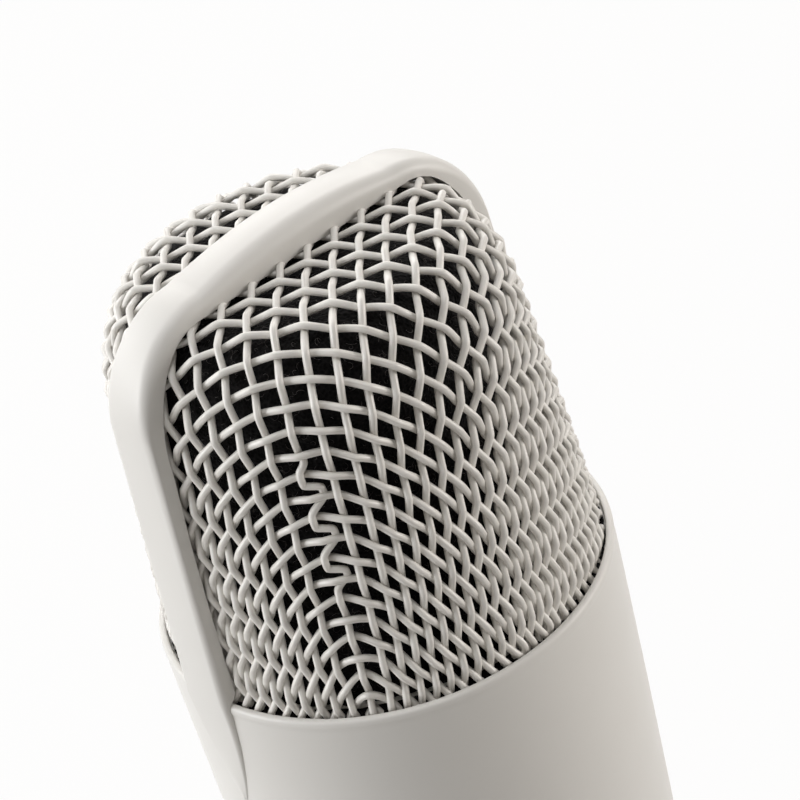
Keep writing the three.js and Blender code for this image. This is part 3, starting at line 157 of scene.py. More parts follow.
class Shader:
    """Small helper that adds typed nodes to a new material."""

    def __init__(self, name: str) -> None:
        """Starts an empty material with a Principled shader.

        Args:
            name: the material's name.
        """
        self.material = bpy.data.materials.new(name)
        self.material.use_nodes = True
        self.tree = self.material.node_tree
        self.tree.nodes.clear()
        self.surface = add_node(self.tree, "ShaderNodeBsdfPrincipled")
        add_node(self.tree, "ShaderNodeOutputMaterial", Surface=self.surface.outputs["BSDF"])
        self.place = add_node(self.tree, "ShaderNodeTexCoord").outputs["Object"]

    def set(self, **values: object) -> None:
        """Feeds the shader's own sockets; an underscore in a name stands for a space."""
        for key, value in values.items():
            plug(self.tree, self.surface.inputs[key.replace("_", " ")], value)

    def noise(self, scale: float, detail: float = 2.0, roughness: float = 0.5,
              place: Optional[Socket] = None) -> Socket:
        """Adds a noise texture.

        Args:
            scale: waves for each metre.
            detail: octaves.
            roughness: share that each octave keeps.
            place: coordinates to read, or None for Object coordinates.

        Returns:
            The factor socket.
        """
        node = add_node(self.tree, "ShaderNodeTexNoise", Scale=scale, Detail=detail, Roughness=roughness,
                        Vector=place or self.place)
        return node.outputs["Fac"]

    def cells(self, scale: float) -> Socket:
        """Adds a cell texture of a scale and returns its distance socket."""
        return add_node(self.tree, "ShaderNodeTexVoronoi", Scale=scale, Vector=self.place).outputs["Distance"]

    def mapped(self, **values: object) -> Socket:
        """Returns Object coordinates that are scaled or turned by the named values."""
        return add_node(self.tree, "ShaderNodeMapping", Vector=self.place, **values).outputs["Vector"]

    def attribute(self, name: str) -> Socket:
        """Reads a mesh attribute.

        Args:
            name: the attribute's name.

        Returns:
            The factor socket.
        """
        node = add_node(self.tree, "ShaderNodeAttribute")
        node.attribute_name = name
        return node.outputs["Fac"]

    def ramp(self, factor: Socket, stops: Sequence[Tuple[float, Colour]]) -> Socket:
        """Adds a colour ramp.

        Args:
            factor: socket that drives the ramp.
            stops: two places and their colours, in order.

        Returns:
            The colour socket.
        """
        node = add_node(self.tree, "ShaderNodeValToRGB", Fac=factor)
        for element, (place, colour) in zip(node.color_ramp.elements, stops):
            element.position = place
            element.color = (*colour, 1.0)
        return node.outputs["Color"]

    def tint(self, factor: Socket, colour: Colour, dark: float, light: float, end: float = 0.7) -> Socket:
        """Adds a ramp between a darker and a lighter shade of one colour.

        Args:
            factor: socket that drives the ramp.
            colour: the colour.
            dark: share of it at the ramp's start.
            light: share of it at the ramp's end.
            end: where the ramp ends.

        Returns:
            The colour socket.
        """
        return self.ramp(factor, [(0.3, shade(colour, dark)), (end, shade(colour, light))])

    def span(self, factor: Socket, low: float, high: float, start: float = 0.3, end: float = 0.7) -> Socket:
        """Maps a factor to a value.

        Args:
            factor: socket to map.
            low: value at start.
            high: value at end.
            start: factor that gives low.
            end: factor that gives high.

        Returns:
            The value's socket.
        """
        node = add_node(self.tree, "ShaderNodeMapRange", Value=factor, From_Min=start, From_Max=end, To_Min=low,
                        To_Max=high)
        return node.outputs["Result"]

    def mix(self, factor: Socket, first: Socket, second: Socket) -> Socket:
        """Mixes two colours.

        Args:
            factor: share of the second one.
            first: socket of the first colour.
            second: socket of the second colour.

        Returns:
            The mixed colour's socket.
        """
        node = add_node(self.tree, "ShaderNodeMix")
        node.data_type = "RGBA"
        for key, value in (("Factor", factor), ("A", first), ("B", second)):
            plug(self.tree, node.inputs[key], value)
        return node.outputs["Result"]

    def bump(self, *layers: Tuple[Socket, float, float]) -> None:
        """Chains bump nodes into the shader's normal.

        Args:
            layers: a height socket, a strength and a depth in metres for each layer.
        """
        previous: Optional[Socket] = None
        for height, strength, depth in layers:
            node = add_node(self.tree, "ShaderNodeBump", Height=height, Strength=strength, Distance=depth)
            if previous is not None:
                plug(self.tree, node.inputs["Normal"], previous)
            previous = node.outputs["Normal"]
        self.set(Normal=previous)


@dataclass(frozen=True)
class SatinPaint:
    """Smooth sprayed paint over a cast or turned shell, with a faint orange peel."""

    name: str = "satin_paint"
    colour: Colour = (0.715, 0.700, 0.667)
    roughness: Tuple[float, float] = (0.38, 0.46)
    coat: float = 0.05
    specular: float = 0.5
    mottle_scale: float = 26.0
    gloss_scale: float = 140.0
    dust_scale: float = 2600.0
    dust_depth: float = 0.00001
    peel_scale: float = 900.0
    peel_depth: float = 0.00002

    def material(self) -> bpy.types.Material:
        """Builds the paint: broad mottling, fine dust and a shallow peel.

        Returns:
            The new material.
        """
        s = Shader(self.name)
        fine = s.noise(self.dust_scale)
        mottle = s.tint(s.noise(self.mottle_scale, 3.0), self.colour, 0.965, 1.02)
        dust = s.ramp(fine, [(0.28, shade(self.colour, 0.97)), (0.42, self.colour)])
        s.set(Base_Color=s.mix(s.span(fine, 0.35, 0.0, 0.2, 0.45), mottle, dust), Metallic=0.0,
              Roughness=s.span(s.noise(self.gloss_scale, 3.0), *self.roughness),
              Specular_IOR_Level=self.specular, Coat_Weight=self.coat, Coat_Roughness=0.3)
        s.bump((s.noise(self.peel_scale), 0.25, self.peel_depth), (fine, 0.05, self.dust_depth))
        return s.material


@dataclass(frozen=True)
class WirePaint:
    """Paint on round wire, with a fine darker line of painted shade along the crowns, broken up in patches."""

    name: str = "grille_paint"
    colour: Colour = (0.80, 0.778, 0.735)
    shade_streak: Colour = (0.56, 0.53, 0.49)
    crown: Tuple[float, float] = (0.86, 0.99)
    patch_scale: float = 170.0
    mottle_scale: float = 420.0
    crown_shade_scale: float = 900.0
    gloss_scale: float = 600.0
    peel_scale: float = 1500.0
    peel_depth: float = 0.00002

    def material(self) -> bpy.types.Material:
        """Builds the paint; the attribute crown is 1 along the outermost line of each wire, where a darker colour
        is painted as shade.

        Returns:
            The new material.
        """
        s = Shader(self.name)
        crown = s.span(s.attribute("crown"), 0.0, 1.0, *self.crown)
        patchy = s.span(s.noise(self.patch_scale, 3.0), 0.0, 0.75, 0.42, 0.62)
        base = s.tint(s.noise(self.mottle_scale, 3.0), self.colour, 0.94, 1.03)
        # painted shade: the crown of each wire is darkened towards the streak colour, in noisy patches
        painted_crown_shade = s.tint(s.noise(self.crown_shade_scale), self.shade_streak, 1.0, 1.2, 0.8)
        s.set(Base_Color=s.mix(add_math(s.tree, "MULTIPLY", crown, patchy), base, painted_crown_shade), Metallic=0.0,
              Roughness=s.span(s.noise(self.gloss_scale), 0.3, 0.46), Coat_Weight=0.15, Coat_Roughness=0.25)
        s.bump((s.noise(self.peel_scale), 0.3, self.peel_depth))
        return s.material


@dataclass(frozen=True)
class OpenFoam:
    """Black open-cell foam: pores painted darker than the slightly lighter strands as painted shade, or the loose
    strands alone.
    """

    name: str = "foam"
    strand: Colour = (0.0105, 0.0095, 0.0095)
    pore_shade: Colour = (0.0015, 0.0014, 0.0014)
    cell_scale: float = 2600.0
    cell_depth: float = 0.0002
    fuzz_scale: float = 5200.0
    fuzz_depth: float = 0.0001

    def material(self) -> bpy.types.Material:
        """Builds the foam from cells and noise.

        Returns:
            The new material.
        """
        s = Shader(self.name)
        cells = s.cells(self.cell_scale)
        # painted shade: the cell pattern darkens the pores between the strands; on the loose fibres it gives
        # darker spots
        s.set(Base_Color=s.ramp(cells, [(0.25, self.pore_shade), (0.75, self.strand)]), Roughness=0.95,
              Specular_IOR_Level=0.1, Sheen_Weight=0.05, Sheen_Roughness=0.6)
        s.bump((cells, 0.9, self.cell_depth), (s.noise(self.fuzz_scale, 3.0), 0.5, self.fuzz_depth))
        return s.material


@dataclass(frozen=True)
class TurnedMetal:
    """Bare or coated metal with fine lathe marks along an axis."""

    name: str
    colour: Colour
    roughness: Tuple[float, float] = (0.22, 0.36)
    metallic: float = 1.0
    marks: Tuple[float, float, float] = (1.0, 1.0, 18.0)
    mark_scale: float = 320.0
    mark_depth: float = 0.00002
    tarnish_scale: float = 90.0

    def material(self) -> bpy.types.Material:
        """Builds the metal: stretched noise for the marks, broad noise for tarnish.

        Returns:
            The new material.
        """
        s = Shader(self.name)
        lines = s.noise(self.mark_scale, 3.0, 0.6, s.mapped(Scale=self.marks))
        s.set(Base_Color=s.tint(s.noise(self.tarnish_scale, 3.0), self.colour, 0.86, 1.05),
              Roughness=s.span(lines, *self.roughness), Metallic=self.metallic)
        s.bump((lines, 0.15, self.mark_depth))
        return s.material


@dataclass(frozen=True)
class MouldedPlastic:
    """Spark-eroded moulded plastic with a fine even grain."""

    name: str
    colour: Colour
    roughness: Tuple[float, float] = (0.42, 0.55)
    grain_scale: float = 2200.0
    grain_depth: float = 0.00003
    flow_scale: float = 60.0

    def material(self) -> bpy.types.Material:
        """Builds the plastic: fine grain in bump and roughness, faint flow marks in colour.

        Returns:
            The new material.
        """
        s = Shader(self.name)
        grain = s.noise(self.grain_scale)
        s.set(Base_Color=s.tint(s.noise(self.flow_scale), self.colour, 0.9, 1.1),
              Roughness=s.span(grain, *self.roughness))
        s.bump((grain, 0.3, self.grain_depth))
        return s.material


@dataclass(frozen=True)
class MouldedRubber:
    """Matt black rubber with a dusty bloom."""

    name: str = "rubber"
    colour: Colour = (0.018, 0.018, 0.019)
    bloom_scale: float = 75.0
    grain_scale: float = 1300.0
    grain_depth: float = 0.00005

    def material(self) -> bpy.types.Material:
        """Builds the rubber: bloom in colour, a coarse grain in bump.

        Returns:
            The new material.
        """
        s = Shader(self.name)
        bloom = s.noise(self.bloom_scale, 4.0)
        s.set(Base_Color=s.ramp(bloom, [(0.35, self.colour), (0.75, shade(self.colour, 2.2))]),
              Roughness=s.span(bloom, 0.75, 0.92))
        s.bump((s.noise(self.grain_scale), 0.4, self.grain_depth))
        return s.material


@dataclass(frozen=True)
class SolderMask:
    """Green solder mask over copper tracks and small pads."""

    name: str = "board"
    mask: Colour = (0.012, 0.085, 0.04)
    track: Colour = (0.03, 0.16, 0.07)
    pad: Colour = (0.62, 0.6, 0.56)
    track_scale: float = 130.0
    pad_scale: float = 330.0
    track_depth: float = 0.00003

    def material(self) -> bpy.types.Material:
        """Builds the board: brick courses for tracks, small cells for pads.

        Returns:
            The new material.
        """
        s = Shader(self.name)
        upright = s.mapped(Rotation=(np.pi / 2, 0.0, 0.0))
        brick = add_node(s.tree, "ShaderNodeTexBrick", Scale=self.track_scale, Mortar_Size=0.045, Brick_Width=0.9,
                         Row_Height=0.32, Color1=(*self.mask, 1.0), Color2=(*shade(self.mask, 1.2), 1.0),
                         Mortar=(*self.track, 1.0), Vector=upright)
        pads = s.span(s.cells(self.pad_scale), 1.0, 0.0, 0.10, 0.14)
        tin = s.tint(s.noise(500.0), self.pad, 0.8, 1.0)
        s.set(Base_Color=s.mix(pads, brick.outputs["Color"], tin), Roughness=s.span(s.noise(200.0), 0.25, 0.4))
        s.bump((brick.outputs["Fac"], 0.3, self.track_depth))
        return s.material


@dataclass(frozen=True)
class ClearLens:
    """Moulded light guide, faintly green and milky."""

    name: str = "lens"
    colour: Colour = (0.30, 0.62, 0.34)
    cloud_scale: float = 800.0
    mark_scale: float = 1800.0
    mark_depth: float = 0.00001

    def material(self) -> bpy.types.Material:
        """Builds the lens with a milky body and tiny moulding marks.

        Returns:
            The new material.
        """
        s = Shader(self.name)
        s.set(Base_Color=s.tint(s.noise(self.cloud_scale), self.colour, 0.9, 1.1), Roughness=0.18,
              Transmission_Weight=0.35, IOR=1.49)
        s.bump((s.noise(self.mark_scale), 0.1, self.mark_depth))
        return s.material


@dataclass(frozen=True)
class CoatedFilm:
    """Thin metal-coated diaphragm film with faint tension wrinkles."""

    name: str = "film"
    colour: Colour = (0.82, 0.62, 0.26)
    ripple_scale: float = 260.0
    ripple_depth: float = 0.00003

    def material(self) -> bpy.types.Material:
        """Builds the film: high gloss with a shallow ripple.

        Returns:
            The new material.
        """
        s = Shader(self.name)
        ripple = s.noise(self.ripple_scale, 2.0, 0.5, s.mapped(Scale=(1.0, 1.0, 0.35)))
        s.set(Base_Color=s.tint(ripple, self.colour, 0.92, 1.06), Metallic=0.9, Roughness=0.16)
        s.bump((ripple, 0.15, self.ripple_depth))
        return s.material


class FinishRack:
    """Builds each slot's material once and hands it out."""

    def __init__(self) -> None:
        """Builds every finish of the microphone."""
        makers = [
            SatinPaint(),
            SatinPaint("powder_coat", roughness=(0.6, 0.7), coat=0.0, specular=0.25, peel_depth=0.00004),
            WirePaint(),
            OpenFoam(),
            OpenFoam("fibre", (0.27, 0.25, 0.24), (0.16, 0.15, 0.145)),
            TurnedMetal("brass", (0.60, 0.42, 0.17), (0.25, 0.4), 1.0, (1.0, 18.0, 1.0)),
            TurnedMetal("steel", (0.52, 0.53, 0.54), (0.2, 0.36)),
            TurnedMetal("dark_metal", (0.042, 0.044, 0.048), (0.38, 0.5), 0.35, (1.0, 1.0, 6.0)),
            MouldedPlastic("black_plastic", (0.014, 0.014, 0.016)),
            MouldedPlastic("grey_plastic", (0.27, 0.275, 0.27)),
            MouldedPlastic("white_inlay", (0.72, 0.71, 0.69), (0.35, 0.45)),
            CoatedFilm(),
            MouldedRubber(),
            SolderMask(),
            ClearLens(),
        ]
        self.materials: Dict[str, bpy.types.Material] = {m.name: m.material() for m in makers}

    def dress(self, piece: bpy.types.Object, finish: str) -> None:
        """Gives a piece one finish in all its slots."""
        piece.data.materials.clear()
        piece.data.materials.append(self.materials[finish])


# Surface builders shared by the pieces.


def grid_faces(rows: int, columns: int, wrap_rows: bool = False, wrap_columns: bool = False) -> Array:
    """Quads of a grid whose points are numbered row by row.

    Args:
        rows: rows of points.
        columns: points in each row.
        wrap_rows: whether the last row joins the first.
        wrap_columns: whether the last point of a row joins its first.

    Returns:
        An array of four point numbers for each quad.
    """
    i = np.arange(rows if wrap_rows else rows - 1)[:, None]
    j = np.arange(columns if wrap_columns else columns - 1)[None, :]
    k, l = (i + 1) % rows, (j + 1) % columns
    return np.stack([i * columns + j, i * columns + l, k * columns + l, k * columns + j], -1).reshape(-1, 4)


def tube_faces(rows: int, columns: int, start: int = 0, flipped: bool = False) -> List[List[int]]:
    """Quads round a tube and a cap on each of its ends.

    Args:
        rows: rings along the tube.
        columns: points in each ring.
        start: number of the first point.
        flipped: whether each face is walked the other way round.

    Returns:
        Point numbers of each face.
    """
    last = (rows - 1) * columns
    caps = [list(range(start + columns - 1, start - 1, -1)), list(range(start + last, start + last + columns))]
    faces = (grid_faces(rows, columns, False, True) + start).tolist() + caps
    return [face[::-1] for face in faces] if flipped else faces


def arc_length(line: Array) -> Array:
    """Distance along a line of points: the running sum of the lengths of its steps, from zero."""
    return np.concatenate([[0], np.cumsum(np.linalg.norm(np.diff(line, axis=0), axis=1))])


def unit(vectors: Array) -> Array:
    """Vectors divided by their own lengths."""
    return vectors / np.linalg.norm(vectors, axis=-1, keepdims=True)


def eased(share: Array) -> Array:
    """Share held between 0 and 1 and eased at both ends: three squares less two cubes."""
    held = np.clip(share, 0, 1)
    return held * held * (3 - 2 * held)


def add_object(name: str, data: bpy.types.ID) -> bpy.types.Object:
    """Makes an object and puts it into the scene.

    Args:
        name: the object's name.
        data: its mesh, camera or lamp.

    Returns:
        The new object.
    """
    made = bpy.data.objects.new(name, data)
    bpy.context.scene.collection.objects.link(made)
    return made


@contextmanager
def welded(mesh: bpy.types.Mesh) -> Iterator[bmesh.types.BMesh]:
    """Opens a mesh with its doubled points merged, and writes it back when the block ends.

    Args:
        mesh: the mesh to edit.

    Returns:
        The mesh as it can be edited.
    """
    work = bmesh.new()
    work.from_mesh(mesh)
    bmesh.ops.remove_doubles(work, verts=work.verts, dist=WELD_GAP)
    yield work
    work.to_mesh(mesh)
    work.free()


def soften(mesh: bpy.types.Mesh, crease: float) -> None:
    """Draws a mesh smooth, but for edges that turn more than an angle in degrees."""
    mesh.polygons.foreach_set("use_smooth", np.ones(len(mesh.polygons), bool))
    mesh.set_sharp_from_angle(angle=np.radians(crease))


def make_piece(name: str, points: Array, faces: Sequence[Sequence[int]], body: str, slot: str, rack: FinishRack,
               replaces: Sequence[str] = (), weld: bool = True, crease: float = 32.0,
               finish: Optional[str] = None, values: Optional[Dict[str, Array]] = None) -> bpy.types.Object:
    """Makes a mesh object in metres that rides on a CAD body.

    Args:
        name: the piece's name.
        points: point places in millimetres.
        faces: point numbers of each face.
        body: body that it rides on.
        slot: the record's material slot.
        rack: where its material comes from.
        replaces: CAD nodes that it stands for.
        weld: whether doubled points are merged, as at a pole.
        crease: angle in degrees above which an edge is drawn sharp.
        finish: finish name where it differs from the slot.
        values: attribute values for each point.

    Returns:
        The new object.
    """
    mesh = bpy.data.meshes.new(name)
    face_list = faces.tolist() if isinstance(faces, np.ndarray) else faces
    mesh.from_pydata((np.asarray(points, float) * MM).tolist(), [], face_list)
    for key, numbers in (values or {}).items():
        layer = mesh.attributes.new(key, "FLOAT", "POINT")
        layer.data.foreach_set("value", np.asarray(numbers, np.float32))
    if weld:
        with welded(mesh) as work:
            bmesh.ops.dissolve_degenerate(work, dist=SHARD, edges=work.edges)
    soften(mesh, crease)
    mesh.update()
    piece = add_object(name, mesh)
    rack.dress(piece, finish or slot)
    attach(piece, body)
    if replaces:
        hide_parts(*replaces)
    LOG.info("%s: %d faces on %s", name, len(mesh.polygons), body)
    return piece


def rounded(corners: Sequence[Tuple[float, float, float]], steps: int = 5, closed: bool = False) -> Array:
    """Rounds the corners of a profile: each becomes a parabola between two tangent points.

    Args:
        corners: radius, height and rounding length of each corner.
        steps: points on each rounding.
        closed: whether the last corner joins the first.

    Returns:
        The profile's points.
    """
    spots = np.array([c[:2] for c in corners], float)
    made: List[Array] = []
    count = len(corners)
    for i, (_, _, length) in enumerate(corners):
        if length <= 0 or (not closed and i in (0, count - 1)):
            made.append(spots[i][None])
            continue
        before, after = spots[i - 1] - spots[i], spots[(i + 1) % count] - spots[i]
        cut = min(length, 0.49 * np.hypot(*before), 0.49 * np.hypot(*after))
        a = spots[i] + before / np.hypot(*before) * cut
        b = spots[i] + after / np.hypot(*after) * cut
        t = np.linspace(0, 1, steps)[:, None]
        made.append((1 - t) ** 2 * a + 2 * t * (1 - t) * spots[i] + t ** 2 * b)
    return np.concatenate(made)


def laid(points: Array, axis: Axis, origin: Sequence[float]) -> Array:
    """Turns points from the upright axis onto another axis.

    Args:
        points: places in millimetres.
        axis: direction that the upright axis is laid in.
        origin: where the foot of the axis goes.

    Returns:
        The moved points.
    """
    x, y, z = points[..., 0], points[..., 1], points[..., 2]
    turned = {Axis.FRONT: (x, -z, y), Axis.REAR: (x, z, -y), Axis.RIGHT: (z, y, -x)}[axis]
    return np.stack(turned, -1) + np.asarray(origin, float)


def lathe(profile: Array, sides: int, closed: bool = False,
          radius_at: Optional[Callable[[Array, Array], Array]] = None) -> Tuple[Array, Array]:
    """Turns a profile about the upright axis: x = r cos a, y = r sin a, z = height.

    Args:
        profile: radius and height, running up on the outside.
        sides: points round the axis.
        closed: whether the profile joins itself.
        radius_at: changes the radius by profile radius and angle, as for flutes.

    Returns:
        The points and the faces.
    """
    turn = np.arange(sides) / sides * 2 * np.pi
    radius = np.repeat(profile[:, :1], sides, 1)
    if radius_at is not None:
        radius = radius_at(radius, turn[None, :])
    height = np.repeat(profile[:, 1:2], sides, 1)
    points = np.stack([radius * np.cos(turn), radius * np.sin(turn), height], -1).reshape(-1, 3)
    return points, grid_faces(len(profile), sides, closed, True)


def refined_copy(node: str, body: str, slot: str, rack: FinishRack, edge: float,
                 segments: int = 2) -> bpy.types.Object:
    """Copies a CAD node, merges its loose triangles and rounds its edges.

    Args:
        node: CAD node to stand for.
        body: body that it rides on.
        slot: the record's material slot.
        rack: where its material comes from.
        edge: width of the rounding in millimetres.
        segments: steps across the rounding.

    Returns:
        The refined piece.
    """
    mesh = frame["nodes"][node].data.copy()
    with welded(mesh) as work:
        bmesh.ops.dissolve_limit(work, angle_limit=np.radians(1.0), verts=work.verts, edges=work.edges)
    soften(mesh, 35.0)
    piece = add_object(node + "_refined", mesh)
    bevel = piece.modifiers.new("edge", "BEVEL")
    bevel.width = edge * MM
    bevel.segments = segments
    bevel.limit_method = "ANGLE"
    bevel.angle_limit = np.radians(40.0)
    bevel.use_clamp_overlap = True
    bevel.harden_normals = False
    rack.dress(piece, slot)
    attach(piece, body)
    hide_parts(node)
    LOG.info("%s: refined copy", node)
    return piece


# The head: grilles, band, foam.


@dataclass(frozen=True)
class HeadShape:
    """Lengths of the head above the rim, in millimetres."""

    rim_z: float
    grille_heights: Tuple[float, ...] = (0.0, 5.0, 12.0, 20.0, 29.0)
    grille_radii: Tuple[float, ...] = (25.0, 24.65, 24.1, 23.5, 22.65)
    grille_top: float = 42.35
    shoulder: float = 8.7
    body_depths: Tuple[float, ...] = (0.0, 0.7, 3.2, 9.0, 15.0, 25.0, 45.0, 75.0, 106.0, 108.0)
    body_radii: Tuple[float, ...] = (25.7, 26.0, 25.95, 25.87, 25.78, 25.62, 25.2, 24.2, 22.7, 22.3)

    def grille_radius(self, rise: Array) -> Array:
        """Outer radius of the grille wall at a rise above the rim."""
        return np.interp(rise, self.grille_heights, self.grille_radii)

    def shoulder_arc(self, turn: Array, offset: float = 0.0) -> Tuple[Array, Array]:
        """Shoulder of the grille: a quarter ellipse from the wall to the top.

        Args:
            turn: angles, 0 at the wall and a quarter turn at the top.
            offset: how far the curve is moved outwards.

        Returns:
            Radii and rises above the rim.
        """
        wall = self.grille_heights[-1]
        radius = self.grille_radii[-1] - self.shoulder + (self.shoulder + offset) * np.cos(turn)
        return radius, wall + (self.grille_top - wall + offset) * np.sin(turn)

    def body_radius(self, depth: Array) -> Array:
        """Outer radius of the body at a depth below the rim."""
        return np.interp(depth, self.body_depths, self.body_radii)


@dataclass
class WovenNet:
    """Plain-weave lattice drawn over the can-shaped head, one quadrant between two creases.

    A node (i, j) lies i pitches along one wire family and j along the other. The sheet lies at 45 degrees to the
    band, so the families' centre wires run down the head's creases and the cells between them shear into narrow
    diamonds. Each link is pulled to the wire pitch while its ends slide on the surface.
    """

    shape: HeadShape
    pitch: float = 2.72
    wire: float = 0.8
    dome: float = 0.3
    count: int = 26
    steps: int = 2000
    lock: float = 1.75
    crease_pull: float = 0.1
    fold_stiffness: float = 0.01
    bend_stiffness: float = 0.02
    stride: float = 0.35
    flat_end: float = 20.0
    tail: float = 6.0
    row_gap: float = 0.95
    wall_radius: float = 23.0
    widest: float = 0.6
    blend_start: float = 12.0
    blend_length: float = 14.0
    table: Tuple[Array, Array, Array] = field(init=False)
    nodes: Array = field(init=False)
    normals: Array = field(init=False)

    def __post_init__(self) -> None:
        """Works out the meridian and relaxes the lattice."""
        self.table = self.meridian()
        self.relax()

    def meridian(self) -> Tuple[Array, Array, Array]:
        """Middle of the wire sheet, from the pole over the shoulder to below the rim.

        Returns:
            Arc lengths, radii and heights.
        """
        h = self.shape
        inset = self.wire
        centre = h.grille_radii[-1] - h.shoulder
        flat = np.linspace(0, centre, 40)
        crown = h.grille_top - inset + self.dome * (1 - (flat / centre) ** 2)
        arc_radius, arc_rise = h.shoulder_arc(np.linspace(np.pi / 2, 0, 40)[1:], -inset)
        wall = np.linspace(h.grille_heights[-1], -self.tail, 160)[1:]
        radius = np.concatenate([flat, arc_radius, h.grille_radius(wall) - inset])
        height = np.concatenate([crown, arc_rise, wall])
        run = arc_length(np.stack([radius, height], 1))
        grid = np.linspace(0, run[-1], 600)
        return grid, np.interp(grid, run, radius), np.interp(grid, run, height)

    def start(self) -> Tuple[Array, Array]:
        """First guess: polar on the flat top, rows hung between the creases on the wall.

        Returns:
            Arc lengths from the pole and azimuths of the nodes.
        """
        i, j = np.meshgrid(np.arange(self.count), np.arange(self.count), indexing="ij")
        rho = self.pitch * np.hypot(i, j)
        turn = np.arctan2(j, i) - np.pi / 4
        row = np.maximum(i + j, 1)
        share = j / row
        first = self.flat_end * np.sqrt(2) / self.pitch
        hung = self.flat_end + (row - first) * self.row_gap * self.pitch
        middle = np.where(row < first, row * self.pitch / np.sqrt(2), hung)
        crease = self.pitch * row
        run_wall = crease - (crease - middle) * np.sin(np.pi * share)
        spread = np.clip(np.degrees(self.pitch / self.wall_radius) * row / 90 - 1, 0, self.widest)
        turn_wall = -np.pi / 4 + np.pi / 2 * (share + spread * np.sin(2 * np.pi * share) / (2 * np.pi))
        w = eased((rho - self.blend_start) / self.blend_length)
        return rho * (1 - w) + run_wall * w, turn * (1 - w) + turn_wall * w

    def place(self, run: Array, turn: Array) -> Tuple[Array, Array, Array, Array]:
        """Finds nodes on the surface: the meridian's radius and height, turned to the azimuth.

        Args:
            run: arc lengths from the pole.
            turn: azimuths from the front.

        Returns:
            Points, directions down the meridian, directions round the axis, and radii.
        """
        grid, radius, height = self.table
        inside = np.minimum(run, grid[-1] - 1e-6)
        r, z = np.interp(inside, grid, radius), np.interp(inside, grid, height) - (run - inside)
        dr = np.interp(inside, grid, np.gradient(radius, grid))
        dz = np.interp(inside, grid, np.gradient(height, grid))
        c, s = np.cos(turn), np.sin(turn)
        return (np.stack([r * s, -r * c, z], -1), np.stack([dr * s, -dr * c, dz], -1),
                np.stack([c, s, np.zeros_like(c)], -1), r)

    def pull(self, p: Array, force: Array, axis: int) -> None:
        """Adds the pull of the links along one wire family, and a little bending stiffness.

        Args:
            p: node places.
            force: forces on the nodes, added to in place.
            axis: which of the two families.
        """
        q = p if axis == 0 else p.swapaxes(0, 1)
        f = force if axis == 0 else force.swapaxes(0, 1)
        d = q[1:] - q[:-1]
        length = np.linalg.norm(d, axis=-1, keepdims=True)
        g = (length - self.pitch) / length * d * 0.5
        g[:, :1] *= self.crease_pull
        f[:-1] += g
        f[1:] -= g
        bend = (q[2:] - 2 * q[1:-1] + q[:-2]) * self.bend_stiffness
        f[1:-1] += bend
        f[2:] -= bend * 0.5
        f[:-2] -= bend * 0.5

    def unfold(self, p: Array, force: Array, side: Array) -> None:
        """Bends the wires that cross a crease back towards flat; they go on mirrored beyond it.

        Args:
            p: node places, the crease first.
            force: forces on the nodes, added to in place.
            side: direction square to the crease's plane.
        """
        inner = p[:, 1]
        mirrored = inner - 2 * (inner @ side)[:, None] * side
        bend = (inner - 2 * p[:, 0] + mirrored) * self.fold_stiffness
        force[:, 0] += bend
        force[:, 1] -= bend

    def relax(self) -> None:
        """Slides the nodes until links have the wire pitch and cells don't pass their locking width."""
        run, turn = self.start()
        both = np.arange(self.count)
        half = np.sqrt(0.5)
        left, right = np.array([half, -half, 0.0]), np.array([half, half, 0.0])
        for _ in range(self.steps):
            p, along, around, radius = self.place(run, turn)
            force = np.zeros_like(p)
            self.pull(p, force, 0)
            self.pull(p, force, 1)
            self.unfold(p, force, left)
            self.unfold(p.swapaxes(0, 1), force.swapaxes(0, 1), right)
            d = p[1:, :-1] - p[:-1, 1:]
            width = np.maximum(np.linalg.norm(d, axis=-1, keepdims=True), 1e-6)
            g = np.where(width < self.lock, (width - self.lock) / width * 0.5, 0.0) * d * 0.5
            force[:-1, 1:] += g
            force[1:, :-1] -= g
            run = run + (force * along).sum(-1) * self.stride
            turn = turn + (force * around).sum(-1) * self.stride / np.maximum(radius, 1.0)
            turn[:, 0], turn[0, :] = -np.pi / 4, np.pi / 4
            run[0, 0] = 0.0
            turn, run = 0.5 * (turn - turn.T), 0.5 * (run + run.T)
            turn[both, both] = 0.0
        self.nodes, along, around, _ = self.place(run, turn)
        self.normals = np.cross(around, -along)

    def full(self) -> Tuple[Array, Array]:
        """Turns the quadrant about the axis to make the whole sheet.

        Returns:
            Nodes and their outward directions.
        """
        n = self.count - 1
        nodes = np.zeros((2 * n + 1, 2 * n + 1, 3))
        normals = np.zeros_like(nodes)
        a, b = np.meshgrid(np.arange(-n, n + 1), np.arange(-n, n + 1), indexing="ij")
        quarters = [((a >= 0) & (b >= 0), a, b, 0), ((a < 0) & (b >= 0), b, -a, 1),
                    ((a < 0) & (b < 0), -a, -b, 2), ((a >= 0) & (b < 0), -b, a, 3)]
        for mask, i, j, quarter in quarters:
            c, s = np.cos(quarter * np.pi / 2), np.sin(quarter * np.pi / 2)
            turn = np.array([[c, s, 0], [-s, c, 0], [0, 0, 1.0]])
            nodes[mask] = self.nodes[i[mask], j[mask]] @ turn
            normals[mask] = self.normals[i[mask], j[mask]] @ turn
        return nodes, normals


